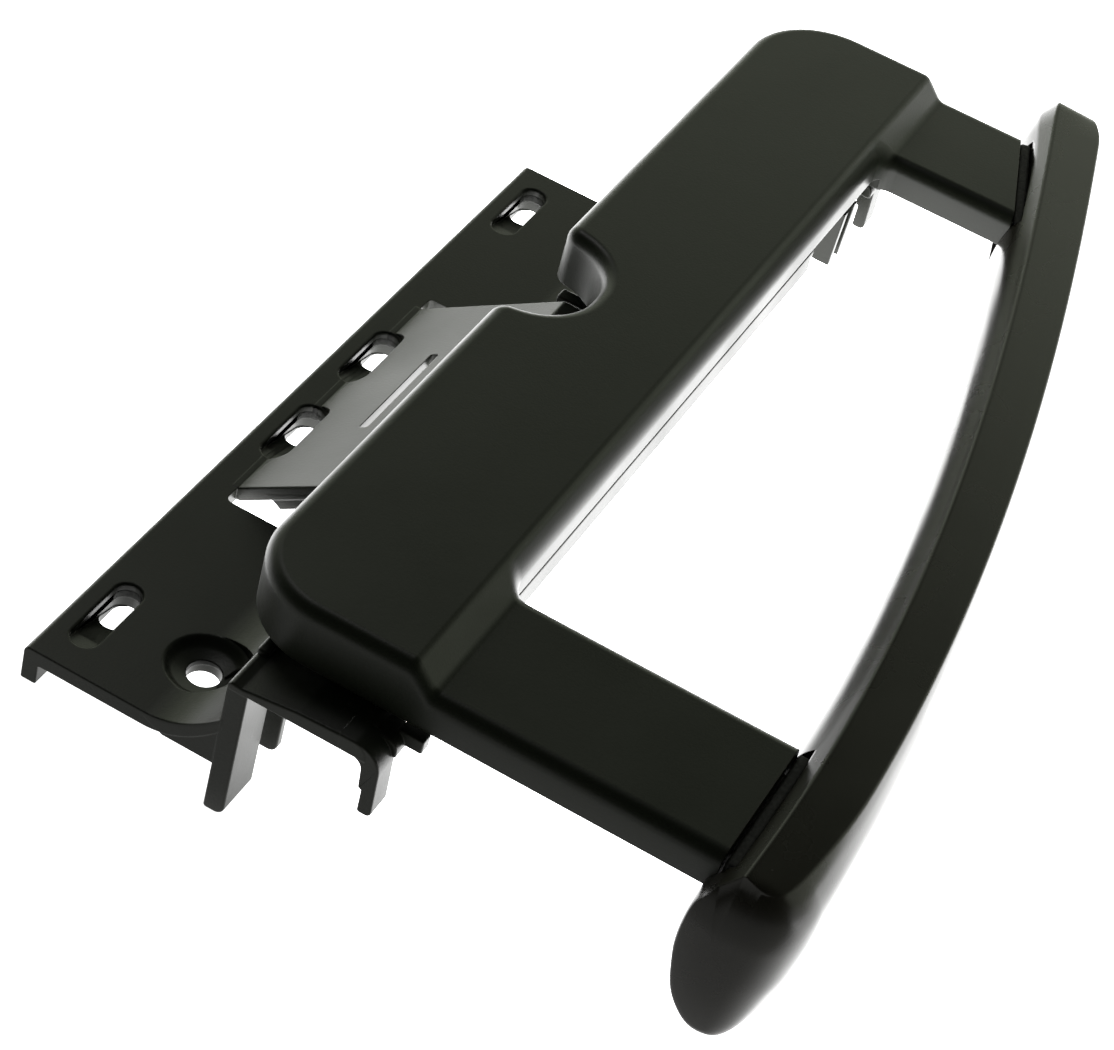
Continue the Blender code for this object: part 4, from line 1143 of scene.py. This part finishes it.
def grip_ring(t, total, shrink=1.0):
    """The section at t, set across the ridge and drawn together near either end."""
    point, along = ridge_at(t)
    outwards = Vector((along.y, -along.x))
    distance, to_tip = t * total, (1 - t) * total
    near_full = end_fullness(distance, NEAR_CAP_REACH, 0.84)
    corner_full = end_fullness(distance, NEAR_CORNER_REACH, 0.02)
    far_full = end_fullness(to_tip, FAR_TIP_REACH, 0.12)
    top_full = end_fullness(to_tip, TIP_TOP_REACH, 0.2)
    rim = rim_out(t, distance) - RIM_MARGIN
    cap_out, cap_z = CAP_CENTRE
    tip_out, tip_z = TIP_CENTRE
    nearness = max(0.0, 1 - distance / NEAR_LEAN_REACH) ** 2
    ring = []
    for out, z in grip_section(t, distance):
        if out > rim:
            out = rim + (out - rim) * corner_full
        elif out < cap_out:
            out = cap_out + (out - cap_out) * near_full
        if z < cap_z:
            z = cap_z + (z - cap_z) * near_full
        out = cap_out + (out - cap_out) * shrink
        z = cap_z + (z - cap_z) * shrink
        height = max(0.0, min(1.0, (z - LEAN_LOW) / LEAN_HEIGHT))
        bulge = CAP_BULGE * (1 - (out / CAP_HALF_WIDTH) ** 2)
        where = point + along * (nearness * (TOP_SETBACK * height**2 - bulge))
        where += outwards * (tip_out + (out - tip_out) * far_full)
        ring.append((*where, tip_z + (z - tip_z) * (top_full if z > tip_z else far_full)))
    return ring


def grip_rings():
    """Sections along the ridge, from a bulging near cap to a rounded far tip."""
    total = (Vector(RIDGE_CURVE[3]) - Vector(RIDGE_CURVE[0])).length
    rings = [grip_ring(0.0, total, step / CAP_STEPS) for step in range(1, CAP_STEPS + 1)]
    near = [NEAR_CORNER_REACH / total * (1 - math.cos(math.radians(5 * i))) for i in range(1, 19)]
    far = [1 - FAR_TIP_REACH / total * (1 - math.sin(math.radians(6 * i))) for i in range(16)]
    middle = [near[-1] + (far[0] - near[-1]) * i / GRIP_STATIONS for i in range(1, GRIP_STATIONS)]
    return rings + [grip_ring(t, total) for t in near + middle + far]


def grip_screw_at(line):
    start, along, out, length = line
    return tuple(start + along * (length / 2) + out * 6.2)


def grip():
    """The bowed bar, with a flat seat and a socket for each arm and a screw pocket under each socket."""
    bar = loft("grip", grip_rings())
    cutters = []
    for line in ARM_ENDS.values():
        cutters.append(end_block("seat_cutter", line, (-14, 2.6), (-0.2, line[3] + 0.1), (13.6, 24.4)))
        cutters.append(end_block("socket_cutter", line, (0, 8.9), (4.2, line[3] - 4.2), (17.6, 22.1)))
        profile = [(3.3, -20), (3.1, -3.0), (3.1, 12.6), (1.7, 12.6), (1.7, 19)]
        cutters.append(turned("screw_pocket_cutter", grip_screw_at(line), profile, "z"))
    cut(bar, *cutters)
    return dress(bar, "grip", "grip_plastic")


def grip_collars():
    """Soft black collars squeezed between the arms' ends and the grip's seats."""
    for side, line in ARM_ENDS.items():
        outline = end_outline(line, (0.3, 2.4), (0.6, line[3] - 0.6), 0.6)
        collar = eased("collar", outline, 14.2, 23.1, ease=0.55, steps=4)
        cut(collar, end_block("collar_slot_cutter", line, (-2, 5), (4.2, line[3] - 4.2), (17.6, 22.1)))
        dress(collar, "grip_collar_" + side, "black_rubber")


# Camera and studio


def camera():
    data = bpy.data.cameras.new("photo_camera")
    data.lens = CAMERA_LENS
    data.sensor_width = 36.0
    item = put("photo_camera", data)
    turn = Matrix((CAMERA_RIGHT, CAMERA_UP, CAMERA_BACK)).transposed().to_4x4()
    item.matrix_world = Matrix.Translation(CAMERA_PLACE) @ turn
    bpy.context.scene.camera = item


def studio_white():
    """A pale floor lit like a light table: white to the eye, and a stronger light behind the near end."""
    nodes = Nodes(bpy.data.materials.new("studio_white"))
    along = nodes.dot(nodes.add("TexCoord").outputs["Object"], FLOOR_BRIGHTENS)
    glow = nodes.spread(along, *FLOOR_GLOW, *FLOOR_GLOW_SPAN)
    seen = nodes.add("LightPath").outputs["Is Camera Ray"]
    nodes.fill(base_color=FLOOR_COLOUR, roughness=0.7, emission_color=(1.0, 1.0, 1.0, 1.0))
    nodes.fill(emission_strength=nodes.math("MAXIMUM", glow, seen))
    return nodes.made


def floor(level):
    side = (-FLOOR_HALF, FLOOR_HALF)
    mesh = bpy.data.meshes.new("floor")
    mesh.from_pydata([(x, y, level) for x, y in rectangle(side, side)], [], [(0, 1, 2, 3)])
    mesh.materials.append(studio_white())
    item = put("floor", mesh)


def overhead_light(target):
    """A small soft light, high at the back left."""
    data = bpy.data.lights.new("soft_overhead", "AREA")
    data.size = OVERHEAD_SIZE
    data.energy = OVERHEAD_POWER
    item = put("soft_overhead", data)
    item.location = OVERHEAD_PLACE
    item.rotation_euler = (target - item.location).to_track_quat("-Z", "Y").to_euler()


def backdrop():
    """World light: a bright wall low at the back that fades to a dim ceiling and a dim front."""
    world = bpy.data.worlds.new("studio")
    nodes = Nodes(world, "Background")
    direction = nodes.add("SeparateXYZ", nodes.add("TexCoord").outputs["Generated"])
    low = nodes.spread(direction.outputs["Z"], 0.0, 1.0, *WALL_FADES_UP, "SMOOTHSTEP")
    back = nodes.spread(direction.outputs["Y"], 0.0, 1.0, *WALL_FADES_FORWARD, "SMOOTHSTEP")
    wall = nodes.math("MULTIPLY", low, back)
    nodes.fill(color=BACKDROP_TINT, strength=nodes.math("MULTIPLY_ADD", wall, BACK_WALL_GLOW, CEILING_GLOW))
    pale = nodes.add("Background", Color=BACKDROP_SEEN).outputs["Background"]
    camera_ray = nodes.add("LightPath").outputs["Is Camera Ray"]
    seen = nodes.add("MixShader", camera_ray, nodes.shader.outputs["Background"], pale)
    nodes.feed(nodes.tree.nodes["World Output"].inputs["Surface"], seen.outputs["Shader"])
    bpy.context.scene.world = world


def studio():
    low, high = CAD_BOX
    floor(low.z - 0.0002)
    overhead_light((low + high) / 2)
    backdrop()
    bpy.context.scene.view_settings.view_transform = "Standard"


def build():
    mounting_bracket()
    hinge_pins()
    stop_buffers()
    return_spring()
    lever_pin()
    release_lever()
    cable_nipple_clip()
    handle_cover()
    handle_frame()
    grip()
    grip_collars()
    hinge_bushes()
    for number, centre in enumerate(SCREW_POSTS, 1):
        pan_screw(f"frame_screw_{number}", centre, FRAME_LOW - 0.3, 26.0)
    for side, line in ARM_ENDS.items():
        pan_screw("grip_screw_" + side, grip_screw_at(line), 12.3, 21.6)


build()
camera()
studio()
